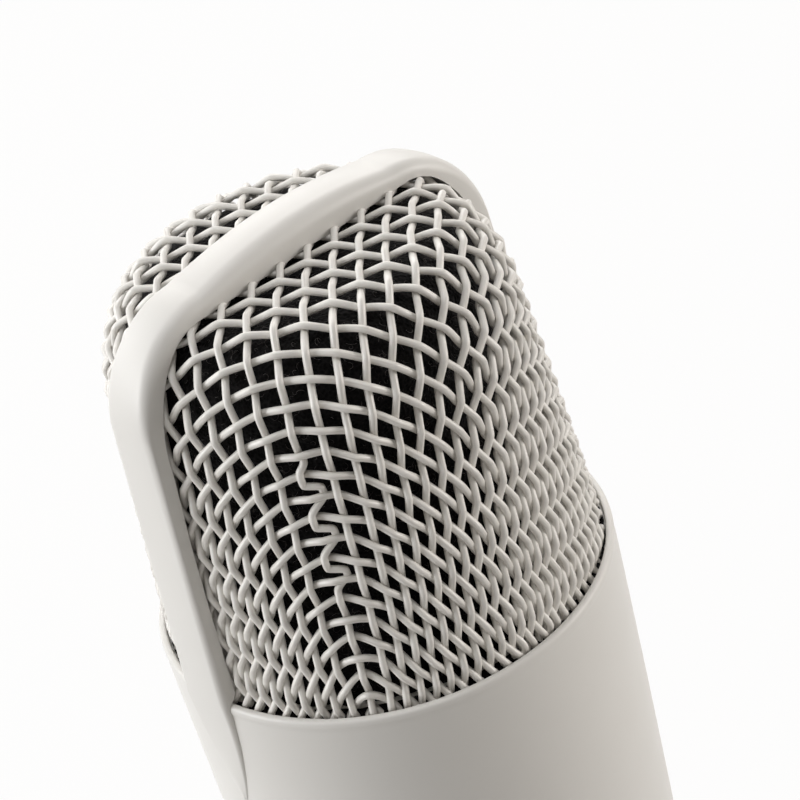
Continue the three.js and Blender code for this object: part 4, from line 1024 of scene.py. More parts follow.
@dataclass
class WireGrille:
    """Half shell of woven round wire, passing over and under at each crossing."""

    net: WovenNet
    facing: Facing
    sides: int = 8
    steps: Tuple[float, ...] = (0.0, 0.06, 0.13, 0.27, 0.5, 0.73, 0.87, 0.94)
    lift: float = 0.41
    sharpness: float = 0.975
    split: float = 0.6
    floor: float = -1.25
    buckle: float = 1.65
    buckle_start: float = -0.35
    buckle_low: float = 14.5
    buckle_high: float = 30.5
    buckle_fade: float = 1.5
    leave: Tuple[float, float] = (0.4, 0.24)
    back: Tuple[float, float] = (1.0, 0.85)
    centre_steps: int = 20

    def strand(self, nodes: Array, normals: Array, signs: Array, centre: bool) -> Tuple[Array, Array]:
        """Smooth wire through one line of nodes.

        A cubic with end slopes of half the distance between neighbours joins the nodes. The stiff wire is
        nearly straight between crossings, so it stands off the sheet by a rounded triangle wave: the arc sine
        of most of the cosine of the cells counted. A centre wire, pushed together on its crease, buckles: it
        runs straight down from where it passes over, then jogs sideways, passes under and comes back.

        Args:
            nodes: node places.
            normals: outward directions.
            signs: 1 where the wire passes over and -1 where it passes under.
            centre: whether this is a crease's centre wire.

        Returns:
            The wire's points and their outward directions.
        """
        slope = np.gradient(nodes, axis=0)
        steps = np.linspace(0, 1, self.centre_steps, endpoint=False) if centre else np.array(self.steps)
        t = steps[None, :, None]
        a, b = nodes[:-1, None], nodes[1:, None]
        ma, mb = slope[:-1, None], slope[1:, None]
        line = ((2 * t ** 3 - 3 * t ** 2 + 1) * a + (t ** 3 - 2 * t ** 2 + t) * ma
                + (3 * t ** 2 - 2 * t ** 3) * b + (t ** 3 - t ** 2) * mb).reshape(-1, 3)
        outward = unit((normals[:-1, None] * (1 - t) + normals[1:, None] * t).reshape(-1, 3))
        place = np.add.outer(np.arange(len(nodes) - 1), steps).reshape(-1)
        wave = np.arcsin(self.sharpness * np.cos(np.pi * place)) / np.arcsin(self.sharpness) * signs[0]
        if centre:
            line = line + self.jog(line, outward, place + (0.0 if signs[0] > 0 else 1.0))
        return line + outward * (wave * self.lift)[:, None], outward

    def jog(self, line: Array, outward: Array, place: Array) -> Array:
        """Shift of a buckled centre wire: sideways, eased out and back within every second cell.

        Args:
            line: points of the wire.
            outward: their outward directions.
            place: cells counted along the wire, even where it passes over.

        Returns:
            The shift of each point.
        """
        rise = line[:, 2]
        above = np.clip((rise - self.buckle_low) / self.buckle_fade, 0, 1)
        fade = above * np.clip((self.buckle_high - rise) / self.buckle_fade, 0, 1)
        down = np.gradient(line, axis=0)
        falling = np.sign(-down[:, 2:] + 1e-9)
        down *= falling / np.linalg.norm(down, axis=1, keepdims=True)
        cell = (place * falling[:, 0]) % 2.0
        swing = eased((cell - self.leave[0]) / self.leave[1]) - eased((cell - self.back[0]) / self.back[1])
        right = np.cross(outward, down)
        return right * ((self.buckle_start + self.buckle * swing) * fade)[:, None]

    def runs(self, line: Array) -> List[slice]:
        """Stretches of a wire that lie on this half and above the rim.

        Args:
            line: points of the wire.

        Returns:
            A slice of the points for each stretch.
        """
        keep = (line[:, 1] * self.facing.value > self.split) & (line[:, 2] > self.floor)
        edge = np.flatnonzero(np.diff(np.concatenate([[0], keep.astype(int), [0]])))
        return [slice(a, b) for a, b in zip(edge[::2], edge[1::2]) if b - a > len(self.steps) // 2]

    def tube(self, line: Array, outward: Array) -> Tuple[Array, Array]:
        """Round tube along a line: point + r (cos a times normal + sin a times side).

        Args:
            line: points along its middle.
            outward: their outward directions.

        Returns:
            The points, and the share by which each faces outwards.
        """
        along = unit(np.gradient(line, axis=0))
        side = unit(np.cross(along, outward))
        normal = np.cross(side, along)
        turn = np.arange(self.sides) / self.sides * 2 * np.pi
        c, s = np.cos(turn)[None, :, None], np.sin(turn)[None, :, None]
        ring = (normal[:, None] * c + side[:, None] * s) * self.net.wire / 2
        return (line[:, None] + ring).reshape(-1, 3), np.tile(np.cos(turn), len(line))

    def build(self, rack: FinishRack) -> bpy.types.Object:
        """Builds all wires of this half as one piece that stands for its CAD grille.

        Args:
            rack: the finishes.

        Returns:
            The new piece.
        """
        nodes, normals = self.net.full()
        size = nodes.shape[0]
        middle = size // 2
        parity = np.where((np.add.outer(np.arange(size), np.arange(size)) % 2) == 0, 1.0, -1.0)
        points, faces, crowns = [], [], []
        total = 0
        for family in (0, 1):
            for k in range(size):
                pick = (slice(None), k) if family == 0 else (k, slice(None))
                signs = parity[pick] * (1.0 if family == 0 else -1.0)
                line, outward = self.strand(nodes[pick], normals[pick], signs, k == middle)
                for stretch in self.runs(line):
                    tube, crown = self.tube(line[stretch], outward[stretch])
                    points.append(tube)
                    crowns.append(crown)
                    faces.extend(tube_faces(len(tube) // self.sides, self.sides, total))
                    total += len(tube)
        placed = np.concatenate(points) + np.array([0, 0, self.net.shape.rim_z])
        side = "front" if self.facing is Facing.FRONT else "rear"
        return make_piece(side + "_wire_grille", placed, faces, "microphone", "grille_paint", rack,
                          [side + "_grille"], weld=False, crease=70.0,
                          values={"crown": np.concatenate(crowns)})


@dataclass
class CastBand:
    """Cast band over the head, with softly rounded edges and pointed tongues on the body."""

    shape: HeadShape
    rim_half: float = 26.5
    top_half: float = 24.3
    height: float = 45.8
    crown: float = 5.4
    corner: float = 11.5
    width: float = 6.7
    rim_width: float = 7.1
    flare: float = 21.5
    tongue: float = 15.0
    tip_width: float = 0.8
    tip_proud: float = 0.22
    gap: float = 0.15
    leg_fillet: float = 0.85
    top_fillet: float = 1.9
    pressed: float = 0.35
    sunk: float = 0.2
    crest: float = 0.1

    def half_path(self) -> Tuple[Array, Array, Array]:
        """Path of the band from the right tongue's tip up to the crown.

        Returns:
            Outer points, inner points and widths.
        """
        h = self.shape
        share = np.linspace(0, 1, 30)[:-1]
        depth = self.tongue * (1 - share)
        proud = self.tip_proud + (self.rim_half - h.body_radii[1] - self.tip_proud) * share
        body = np.maximum(h.body_radius(depth), h.body_radii[1] * (depth < 0.7))
        outer = [np.stack([body + proud, -depth], 1)]
        inner = [np.stack([body - self.sunk, -depth], 1)]
        width = [self.tip_width + (self.rim_width - self.tip_width) * np.sin(share * np.pi / 2) ** 0.9]
        corner_x = self.top_half - self.corner
        corner_z = self.height - self.crown * (corner_x / self.top_half) ** 2 - self.corner
        share = np.linspace(0, 1, 50)
        rise, low = corner_z * share, h.grille_heights[-1] * share
        half = self.rim_half + (self.top_half - self.rim_half) * share
        seat = np.where(low < 0.5, h.body_radii[1] - self.sunk, h.grille_radius(low) + self.gap)
        outer.append(np.stack([half, rise], 1))
        inner.append(np.stack([seat, low], 1))
        width.append(self.width + (self.rim_width - self.width) * np.clip(1 - rise / self.flare, 0, 1) ** 2)
        turn = np.linspace(0, np.pi / 2, 26)[1:]
        outer.append(np.stack([corner_x + self.corner * np.cos(turn), corner_z + self.corner * np.sin(turn)], 1))
        inner.append(np.stack(h.shoulder_arc(turn, self.gap), 1))
        x = np.linspace(1, 0, 28)[1:]
        centre = h.grille_radii[-1] - h.shoulder
        outer.append(np.stack([corner_x * x, self.height - self.crown * (corner_x * x / self.top_half) ** 2], 1))
        inner.append(np.stack([centre * x, np.full(len(x), h.grille_top + self.gap)], 1))
        width.append(np.full(len(turn) + len(x), self.width))
        return np.concatenate(outer), np.concatenate(inner), np.concatenate(width)

    def sections(self, depth: Array, sink: Array, half: Array, fillet: Array) -> Tuple[Array, Array]:
        """Half width and depth below the outer face, point by point round each section.

        Args:
            depth: thickness of the band at its middle.
            sink: how much further its side walls reach, down to the curved grille.
            half: half widths.
            fillet: radii of the rounded edges.

        Returns:
            Two arrays, a row for each section.
        """
        turn = np.linspace(0, np.pi / 2, 9)
        edge = half[:, None] - fillet[:, None] * (1 - np.cos(turn))
        drop = self.crest + fillet[:, None] * (1 - np.sin(turn))
        face = np.linspace(1, -1, 9)[None, 1:-1] * (half - fillet)[:, None]
        sag = self.crest * (face / (half - fillet)[:, None]) ** 2
        wall = np.stack([half, half], 1)
        low = np.stack([depth + sink, 0.5 * (depth + sink + fillet)], 1)
        across = np.concatenate([wall, edge, face, -edge[:, ::-1], -wall], 1)
        below = np.concatenate([low, drop, sag, drop[:, ::-1], low[:, ::-1]], 1)
        return across, below

    def build(self, rack: FinishRack) -> bpy.types.Object:
        """Carries a rounded section along the band: flat face, rounded edges, straight side walls.

        Args:
            rack: the finishes.

        Returns:
            The new piece.
        """
        outer, inner, width = self.half_path()
        flip = np.array([-1.0, 1.0])
        outer = np.concatenate([outer, (outer * flip)[-2::-1]])
        inner = np.concatenate([inner, (inner * flip)[-2::-1]])
        width = np.concatenate([width, width[-2::-1]])
        depth = np.linalg.norm(outer - inner, axis=1)
        inward = (inner - outer) / depth[:, None]
        half = width / 2
        radius = np.abs(inner[:, 0])
        sink = np.abs(inward[:, 0]) * (radius - np.sqrt(np.maximum(radius ** 2 - half ** 2, 0)))
        sink = np.where(inner[:, 1] > 1.0, sink + self.pressed, sink)
        risen = np.clip(outer[:, 1] / self.height, 0, 1)
        wanted = self.leg_fillet + (self.top_fillet - self.leg_fillet) * risen ** 3
        fillet = np.minimum(np.minimum(wanted, (depth + sink) * 0.7), half * 0.6)
        across, below = self.sections(depth, sink, half, fillet)
        x = outer[:, :1] + inward[:, :1] * below
        z = outer[:, 1:] + inward[:, 1:] * below + self.shape.rim_z
        points = np.stack([x, across, z], -1)
        rows, columns = points.shape[:2]
        faces = tube_faces(rows, columns, flipped=True)
        return make_piece("cast_band", points.reshape(-1, 3), faces, "microphone", "satin_paint", rack,
                          ["head_frame"], crease=50.0)


@dataclass
class HeadSeat:
    """Seat ring inside the rim, part of the cast band."""

    shape: HeadShape
    inner: float = 17.5
    depth: float = 5.0
    wall_gap: float = 2.5
    rim_gap: float = 0.05
    fillet: float = 0.4

    def build(self, rack: FinishRack) -> bpy.types.Object:
        """Turns the seat ring with rounded edges.

        Args:
            rack: the finishes.

        Returns:
            The new piece.
        """
        outer = float(self.shape.body_radius(self.depth)) - self.wall_gap
        low, high = self.shape.rim_z - self.depth, self.shape.rim_z - self.rim_gap
        profile = rounded([(self.inner, low, self.fillet), (outer, low, self.fillet),
                           (outer, high, self.fillet), (self.inner, high, self.fillet)], 4, True)
        points, faces = lathe(profile, 120, True)
        return make_piece("head_seat_ring", points, faces, "microphone", "satin_paint", rack)


@dataclass
class FoamLining:
    """Foam can behind the wires: turned profile pushed in and out by smoothed seeded noise."""

    shape: HeadShape
    inset: float = 1.9
    thickness: float = 2.0
    rough: float = 0.22
    skirt: Tuple[Tuple[float, float], ...] = ((23.3, 0.0), (23.5, -1.15), (24.95, -1.15), (24.95, -0.85),
                                              (24.1, -0.6), (23.4, -0.3))
    sides: int = 220
    seed: int = 11

    def profile(self, inset: float) -> Array:
        """Profile of the can, up the wall, over the shoulder and in to the axis.

        Args:
            inset: distance inside the grille's outer face.

        Returns:
            Radii and heights.
        """
        h = self.shape
        rise = np.linspace(0.1, h.grille_heights[-1], 40)
        arc_radius, arc_rise = h.shoulder_arc(np.linspace(0, np.pi / 2, 24)[1:], -inset)
        flat = np.linspace(h.grille_radii[-1] - h.shoulder, 0, 22)[1:]
        radius = np.concatenate([h.grille_radius(rise) - inset, arc_radius, flat])
        height = np.concatenate([rise, arc_rise, np.full(len(flat), h.grille_top - inset)])
        return np.stack([radius, height + h.rim_z], 1)

    def build(self, rack: FinishRack) -> bpy.types.Object:
        """Builds the lining, open at the bottom, with an inner wall and a skirt in the rim's groove.

        Args:
            rack: the finishes.

        Returns:
            The lining.
        """
        skirt = np.array(self.skirt) + np.array([0, self.shape.rim_z])
        outer = np.concatenate([skirt, self.profile(self.inset)])
        inner = self.profile(self.inset + self.thickness)[::-1]
        profile = np.concatenate([outer, inner])
        points, faces = lathe(profile, self.sides, True)
        grid = points.reshape(len(profile), self.sides, 3)
        noise = np.random.default_rng(self.seed).normal(size=(len(profile), self.sides))
        for shift in (1, 2):
            noise = (noise + np.roll(noise, shift, 1) + np.roll(noise, -shift, 1)) / 1.8
        fade = (profile[:, 0] > 2.0)[:, None] * (np.arange(len(profile)) < len(outer))[:, None]
        radius = np.maximum(np.hypot(grid[..., 0], grid[..., 1]), 1e-3)
        push = -np.abs(noise) * self.rough * fade
        grid[..., 0] += grid[..., 0] / radius * push
        grid[..., 1] += grid[..., 1] / radius * push
        return make_piece("foam_lining", grid.reshape(-1, 3), faces, "microphone", "foam", rack,
                          ["foam_liner"], crease=180.0)


@dataclass
class FoamFibres:
    """Fine curled fibres over the foam's face behind the wires."""

    lining: FoamLining
    count: int = 5200
    length: float = 0.9
    lengths: Tuple[float, float] = (0.4, 1.4)
    bends: Tuple[float, float] = (1.2, 4.5)
    rise: float = 0.22
    rises: Tuple[float, float] = (0.2, 1.6)
    thickness: float = 0.03
    points: int = 6
    seed: int = 5

    def build(self, rack: FinishRack) -> bpy.types.Object:
        """Builds three-sided hairs: each is an arc of a random circle that rises a little off the surface.

        Args:
            rack: the finishes.

        Returns:
            The new piece.
        """
        rng = np.random.default_rng(self.seed)
        profile = self.lining.profile(self.lining.inset + 0.02)
        run = arc_length(profile)
        area = np.concatenate([[0], np.cumsum(0.5 * (profile[1:, 0] + profile[:-1, 0]) * np.diff(run))])
        place = np.interp(rng.uniform(0, area[-1], self.count), area, run)
        turn = rng.uniform(0, 2 * np.pi, self.count)
        r, z = np.interp(place, run, profile[:, 0]), np.interp(place, run, profile[:, 1])
        slope = np.interp(place, run, np.gradient(profile[:, 1], run))
        lean_in = np.interp(place, run, np.gradient(profile[:, 0], run))
        root = np.stack([r * np.cos(turn), r * np.sin(turn), z], 1)
        out = unit(np.stack([slope * np.cos(turn), slope * np.sin(turn), -lean_in], 1))
        lean = unit(np.cross(out, rng.normal(size=(self.count, 3))))
        side = np.cross(out, lean)
        t = np.linspace(0, 1, self.points)[None, :, None]
        bend = rng.uniform(*self.bends, self.count)[:, None, None]
        size = (self.length * rng.uniform(*self.lengths, self.count))[:, None, None]
        curl = (lean[:, None] * np.sin(bend * t) + side[:, None] * (1 - np.cos(bend * t))) * size / bend
        lift = out[:, None] * self.rise * rng.uniform(*self.rises, (self.count, 1, 1)) * np.sin(np.pi * t)
        line = root[:, None] + curl + lift
        cross = lean[:, None] * np.sin(bend * t) - side[:, None] * np.cos(bend * t)
        a = (np.arange(3) / 3 * 2 * np.pi)[None, None, :, None]
        ring = (out[:, None, None] * np.cos(a) + cross[:, :, None] * np.sin(a)) * self.thickness / 2
        spots = (line[:, :, None] + ring).reshape(-1, 3)
        start = 3 * self.points * np.arange(self.count)[:, None, None]
        last = 3 * (self.points - 1)
        sides = (grid_faces(self.points, 3, False, True)[None] + start).reshape(-1, 4).tolist()
        tips = (np.array([[2, 1, 0], [last, last + 1, last + 2]])[None] + start).reshape(-1, 3).tolist()
        return make_piece("foam_fibres", spots, sides + tips, "microphone", "foam", rack, weld=False,
                          crease=180.0, finish="fibre")


# The body and its controls.


@dataclass
class BodyShell:
    """Round body with a rolled rim and openings for the controls and sockets."""

    shape: HeadShape
    wall: float = 2.2
    sides: int = 192
    shaft_hole: Tuple[float, float] = (64.0, 3.3)
    mute_hole: Tuple[float, float] = (38.0, 4.9)
    light_hole: Tuple[float, float] = (27.0, 1.4)
    jack_hole: Tuple[float, float] = (76.0, 4.3)
    usb_hole: Tuple[float, float, float] = (93.0, 4.8, 2.0)
    cut_span: Tuple[float, float] = (12.0, 32.0)

    def profile(self) -> Array:
        """Profile up the outer side, over the rolled rim and down the inner side.

        Returns:
            Radii and heights.
        """
        h = self.shape
        depth = np.linspace(107.0, 3.0, 70)
        outer = h.body_radius(depth)
        kernel = np.hanning(11)
        kernel /= kernel.sum()
        smooth = np.convolve(np.pad(outer, 5, mode="edge"), kernel, mode="valid")
        smooth[:3] = outer[:3]
        rim = rounded([(smooth[-1], -3.0, 0), (25.86, -1.25, 0.5), (26.0, -0.7, 0.4), (25.85, 0.0, 0.6),
                       (25.12, 0.0, 0.25), (25.08, -1.2, 0.1), (23.5, -1.2, 0.1), (23.4, -3.0, 0)], 6)
        inner_depth = np.linspace(4.0, 107.8, 40)
        inner = np.minimum(h.body_radius(inner_depth), 25.6) - self.wall
        foot = rounded([(inner[-1], -107.8, 0), (inner[-1] + 0.1, -108.0, 0.1), (22.3, -108.0, 0.3),
                        (22.62, -107.6, 0.3), (float(smooth[0]), -107.0, 0)], 4)
        outside, inside = np.stack([smooth, -depth], 1), np.stack([inner, -inner_depth], 1)
        ring = np.concatenate([outside, rim[1:], inside, foot[1:-1]])
        return ring + np.array([0, h.rim_z])

    def cutter(self, depth: float, radius: float, side: Facing) -> Tuple[Array, Array]:
        """Round cutter laid to the front or the back.

        Args:
            depth: distance of its axis below the rim.
            radius: its radius.
            side: the side that it cuts.

        Returns:
            Its points and faces.
        """
        low, high = self.cut_span
        profile = np.array([[0.0, low], [radius, low], [radius, high], [0.0, high]])
        points, faces = lathe(profile, 48)
        axis = Axis.FRONT if side is Facing.FRONT else Axis.REAR
        return laid(points, axis, (0, 0, self.shape.rim_z - depth)), faces

    def slot_cutter(self) -> Tuple[Array, List[List[int]]]:
        """Rounded slot for the inlet: a stadium drawn out towards the back.

        Returns:
            Its points and faces.
        """
        depth, half, high = self.usb_hole
        turn = np.linspace(-np.pi / 2, np.pi / 2, 9)
        end = half - high
        x = np.concatenate([end + high * np.cos(turn), -end - high * np.cos(turn)])
        z = np.concatenate([high * np.sin(turn), -high * np.sin(turn)])
        rows = [np.stack([x, np.full_like(x, y), z], 1) for y in self.cut_span]
        points = np.concatenate(rows) + np.array([0, 0, self.shape.rim_z - depth])
        return points, tube_faces(len(rows), len(x), flipped=True)

    def cut(self, shell: bpy.types.Object, points: Array, faces: Sequence[Sequence[int]]) -> None:
        """Takes a cutter's shape out of the shell.

        Args:
            shell: the shell, which gets a new mesh.
            points: the cutter's points in millimetres.
            faces: the cutter's faces.
        """
        mesh = bpy.data.meshes.new("cutter")
        mesh.from_pydata((points * MM).tolist(), [], [list(face) for face in faces])
        with welded(mesh) as work:
            bmesh.ops.recalc_face_normals(work, faces=work.faces)
        tool = add_object("cutter", mesh)
        modifier = shell.modifiers.new("cut", "BOOLEAN")
        modifier.operation = "DIFFERENCE"
        modifier.solver = "EXACT"
        modifier.object = tool
        bpy.context.view_layer.update()
        graph = bpy.context.evaluated_depsgraph_get()
        done = bpy.data.meshes.new_from_object(shell.evaluated_get(graph))
        shell.modifiers.clear()
        shell.data = done
        bpy.data.objects.remove(tool)

    def build(self, rack: FinishRack) -> bpy.types.Object:
        """Turns the shell and cuts its openings.

        Args:
            rack: the finishes.

        Returns:
            The new piece.
        """
        points, faces = lathe(self.profile(), self.sides, True)
        shell = make_piece("body_sleeve", points, faces, "microphone", "satin_paint", rack, ["body_shell"])
        cutters = [self.cutter(*self.shaft_hole, Facing.FRONT), self.cutter(*self.mute_hole, Facing.FRONT),
                   self.cutter(*self.light_hole, Facing.FRONT), self.cutter(*self.jack_hole, Facing.REAR),
                   self.slot_cutter()]
        for spots, sides in cutters:
            self.cut(shell, spots, sides)
        shell.data.name = "body_sleeve"
        shell.data.set_sharp_from_angle(angle=np.radians(32.0))
        rack.dress(shell, "satin_paint")
        return shell


@dataclass
class FlutedKnob:
    """Turned knob with rounded flutes, a dished face and optional pointer."""

    name: str
    node: str
    body: str
    axis: Axis
    origin: Tuple[float, float, float]
    radius: float
    length: float
    flutes: int
    flute_depth: float
    waist: Tuple[float, float] = (0.0, 0.0)
    dish: float = 0.5
    pointer: bool = False
    bore: Tuple[float, float] = (3.1, 6.0)

    def profile(self) -> Array:
        """Profile of the knob: bore, back face, waist, side wall, rounded edge and dished face.

        Returns:
            Radii and lengths along the axis.
        """
        hub, hub_length = self.waist
        r, l = self.radius, self.length
        corners: List[Tuple[float, float, float]] = [(0, self.bore[1], 0), (self.bore[0], self.bore[1], 0.2),
                                                     (self.bore[0], 0, 0.2)]
        if hub > 0:
            corners += [(hub, 0, 0.4), (hub, hub_length, 0.3), (r, hub_length, 0.8)]
        else:
            corners += [(r - 0.2, 0, 0.5), (r, 0.4, 0.3)]
        corners += [(r, l * 0.55, 0.2), (r, l, 1.3), (r * 0.8, l, 0.9), (r * 0.66, l - self.dish, 0.9),
                    (r * 0.3, l - self.dish, 0.5), (0, l - self.dish * 0.8, 0)]
        return rounded(corners, 7)

    def radius_at(self, radius: Array, turn: Array) -> Array:
        """Cuts flutes: near the rim the radius is limited by a rounded comb round the axis.

        Args:
            radius: the profile's radii.
            turn: angles round the axis.

        Returns:
            The radii with the flutes cut.
        """
        comb = np.clip(np.cos(turn * self.flutes), 0, 1) ** 2.2
        limit = self.radius - self.flute_depth * comb
        return np.where(radius > self.radius * 0.86, np.minimum(radius, limit), radius)

    def build(self, rack: FinishRack) -> List[bpy.types.Object]:
        """Builds the knob, and its inlaid pointer where it has one.

        Args:
            rack: the finishes.

        Returns:
            The new pieces.
        """
        sides = self.flutes * (16 if self.flutes > 12 else 26)
        points, faces = lathe(self.profile(), sides, False, self.radius_at)
        placed = laid(points, self.axis, self.origin)
        made = [make_piece(self.name, placed, faces, self.body, "black_plastic", rack, [self.node])]
        if self.pointer:
            t = np.linspace(0, 1, 14)
            half = 0.45 * np.sqrt(np.clip(1 - (2 * t - 1) ** 8, 0.03, 1))
            y = self.radius * (0.45 + 0.5 * t)
            height = np.interp(y, [self.radius * 0.66, self.radius * 0.8, self.radius * 0.92, self.radius * 0.95],
                               [self.length - self.dish, self.length, self.length - 0.05, self.length - 0.25])
            rows = np.stack([np.stack([-half, y, height - 0.5], 1), np.stack([half, y, height - 0.5], 1),
                             np.stack([half * 0.9, y, height + 0.08], 1),
                             np.stack([-half * 0.9, y, height + 0.08], 1)], 1)
            made.append(make_piece(self.name + "_pointer", laid(rows.reshape(-1, 3), self.axis, self.origin),
                                   tube_faces(len(t), 4, flipped=True), self.body, "grey_plastic", rack,
                                   finish="white_inlay"))
        return made


@dataclass
class PushButton:
    """Mute button: rounded cap with a dished face, collar and stem."""

    shape: HeadShape
    depth: float = 38.0
    radius: float = 4.6
    proud: float = 1.6

    def build(self, rack: FinishRack) -> bpy.types.Object:
        """Turns the button about the front axis.

        Args:
            rack: the finishes.

        Returns:
            The new piece.
        """
        surface = float(self.shape.body_radius(self.depth))
        stem = -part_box("mute_button")[1].y / MM
        face = surface + self.proud
        r = self.radius
        corners = [(0, stem, 0), (1.7, stem, 0.3), (1.7, 17.9, 0.2), (5.8, 17.9, 0.3), (5.8, 19.1, 0.3),
                   (r, 19.1, 0.2), (r, face - 0.9, 0.1), (r - 0.12, face, 0.5), (r * 0.82, face, 0.15),
                   (r * 0.8, face - 0.22, 0.1), (r * 0.74, face - 0.22, 0.1), (r * 0.72, face - 0.05, 0.2),
                   (r * 0.4, face - 0.5, 1.2), (0, face - 0.55, 0)]
        points, faces = lathe(rounded(corners, 6), 96)
        return make_piece("mute_cap", laid(points, Axis.FRONT, (0, 0, self.shape.rim_z - self.depth)), faces,
                          "mute_button", "grey_plastic", rack, ["mute_button"])


@dataclass
class LightGuide:
    """Status light: clear pin with a domed tip."""

    shape: HeadShape
    depth: float = 27.0
    radius: float = 1.3

    def build(self, rack: FinishRack) -> bpy.types.Object:
        """Turns the pin about the front axis.

        Args:
            rack: the finishes.

        Returns:
            The new piece.
        """
        tip = float(self.shape.body_radius(self.depth)) + 0.2
        foot = -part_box("status_light")[1].y / MM
        corners = [(0, foot, 0), (self.radius, foot, 0.1), (self.radius, tip - 0.35, 0.2),
                   (self.radius * 0.8, tip - 0.08, 0.3), (0, tip, 0)]
        points, faces = lathe(rounded(corners, 6), 48)
        return make_piece("status_lens", laid(points, Axis.FRONT, (0, 0, self.shape.rim_z - self.depth)), faces,
                          "microphone", "lens", rack, ["status_light"])


# The stand, and the CAD nodes that keep their shape.


@dataclass
class Stand:
    """Weighted base, rubber ring and post, all turned about the upright axis."""

    sides: int = 160

    def turned(self, name: str, corners: Sequence[Tuple[float, float, float]], slot: str, finish: str,
               node: str, rack: FinishRack, closed: bool = False) -> bpy.types.Object:
        """Turns rounded corners into a piece that stands for a node.

        Args:
            name: the piece's name.
            corners: radius, height and rounding length of each corner.
            slot: the record's material slot.
            finish: the finish's name.
            node: CAD node that it stands for.
            rack: the finishes.
            closed: whether the profile joins itself.

        Returns:
            The piece.
        """
        points, faces = lathe(rounded(corners, 7, closed), self.sides, closed)
        return make_piece(name, points, faces, "stand", slot, rack, [node], finish=finish)

    def build(self, rack: FinishRack) -> List[bpy.types.Object]:
        """Builds the turned pieces of the stand.

        Args:
            rack: the finishes.

        Returns:
            The new pieces.
        """
        base = [(4.1, 8.0, 0.1), (9.5, 8.0, 0.2), (9.5, 2.0, 0.5), (43.7, 2.0, 0.2), (43.7, 3.0, 0.1),
                (57.3, 3.0, 0.1), (57.3, 2.0, 0.2), (58.9, 2.0, 0.9), (60.0, 3.4, 1.2), (60.0, 6.6, 2.6),
                (57.2, 9.35, 3.4), (36.0, 12.15, 9.0), (14.0, 13.7, 4.0), (12.4, 14.0, 0.6), (4.1, 14.0, 0.2)]
        ring = [(44.0, 0.0, 0.5), (57.0, 0.0, 0.5), (57.0, 2.95, 0.2), (44.0, 2.95, 0.2)]
        post = [(4.1, 14.05, 0.1), (10.5, 14.05, 0.15), (10.5, 15.4, 0.8), (9.2, 16.4, 0.7), (8.0, 16.9, 1.2),
                (8.0, 40.0, 0.5), (8.0, 63.9, 0.9), (7.0, 63.95, 0.2), (5.0, 63.95, 0.1), (5.0, 69.0, 0.2),
                (4.1, 69.0, 0.2), (4.1, 72.4, 0.2), (5.0, 72.4, 0.2), (5.0, 75.9, 0.6), (0.0, 75.9, 0)]
        bore = [(0.0, 28.0, 0), (4.1, 28.0, 0.2)]
        return [
            self.turned("weighted_base", base, "satin_paint", "powder_coat", "base_plate", rack, True),
            self.turned("rubber_ring", ring, "rubber", "rubber", "foot_ring", rack, True),
            self.turned("upright_post", bore + post, "satin_paint", "powder_coat", "stand_post", rack),
        ]


@dataclass(frozen=True)
class KeptNodes:
    """CAD nodes that keep their shape, and those that get rounded edges."""

    refined: Tuple[Tuple[str, str, float], ...] = (
        ("swivel_fork", "fork", 0.45), ("tilt_bolt", "fork", 0.3), ("mount_bracket", "microphone", 0.3),
        ("bottom_cap", "microphone", 0.25), ("usb_socket", "microphone", 0.08),
        ("headphone_jack", "microphone", 0.2), ("bracket_nut", "microphone", 0.3),
        ("capsule_housing", "microphone", 0.3), ("front_clamp_ring", "microphone", 0.2),
        ("rear_clamp_ring", "microphone", 0.2), ("base_washer", "stand", 0.2), ("base_bolt", "stand", 0.3),
        ("preamp_shield", "microphone", 0.5), ("audio_chip", "microphone", 0.15),
        ("mute_switch", "microphone", 0.3), ("volume_encoder", "microphone", 0.3),
    )

    def build(self, rack: FinishRack) -> None:
        """Dresses every CAD node, and makes the refined copies.

        Args:
            rack: the finishes.
        """
        slots = {s["node"]: s["material_slot"] for s in frame["record"]["subparts"]}
        for node, piece in frame["nodes"].items():
            rack.dress(piece, slots[node])
        for node, body, edge in self.refined:
            refined_copy(node, body, slots[node], rack, edge)


# The camera, lamps and ground.


def seen_from(azimuth: float, elevation: float) -> Array:
    """Unit vector from the object: sin a cos e, minus cos a cos e, sin e, for angles in degrees."""
    a, e = np.radians([azimuth, elevation])
    return np.array([np.sin(a) * np.cos(e), -np.cos(a) * np.cos(e), np.sin(e)])


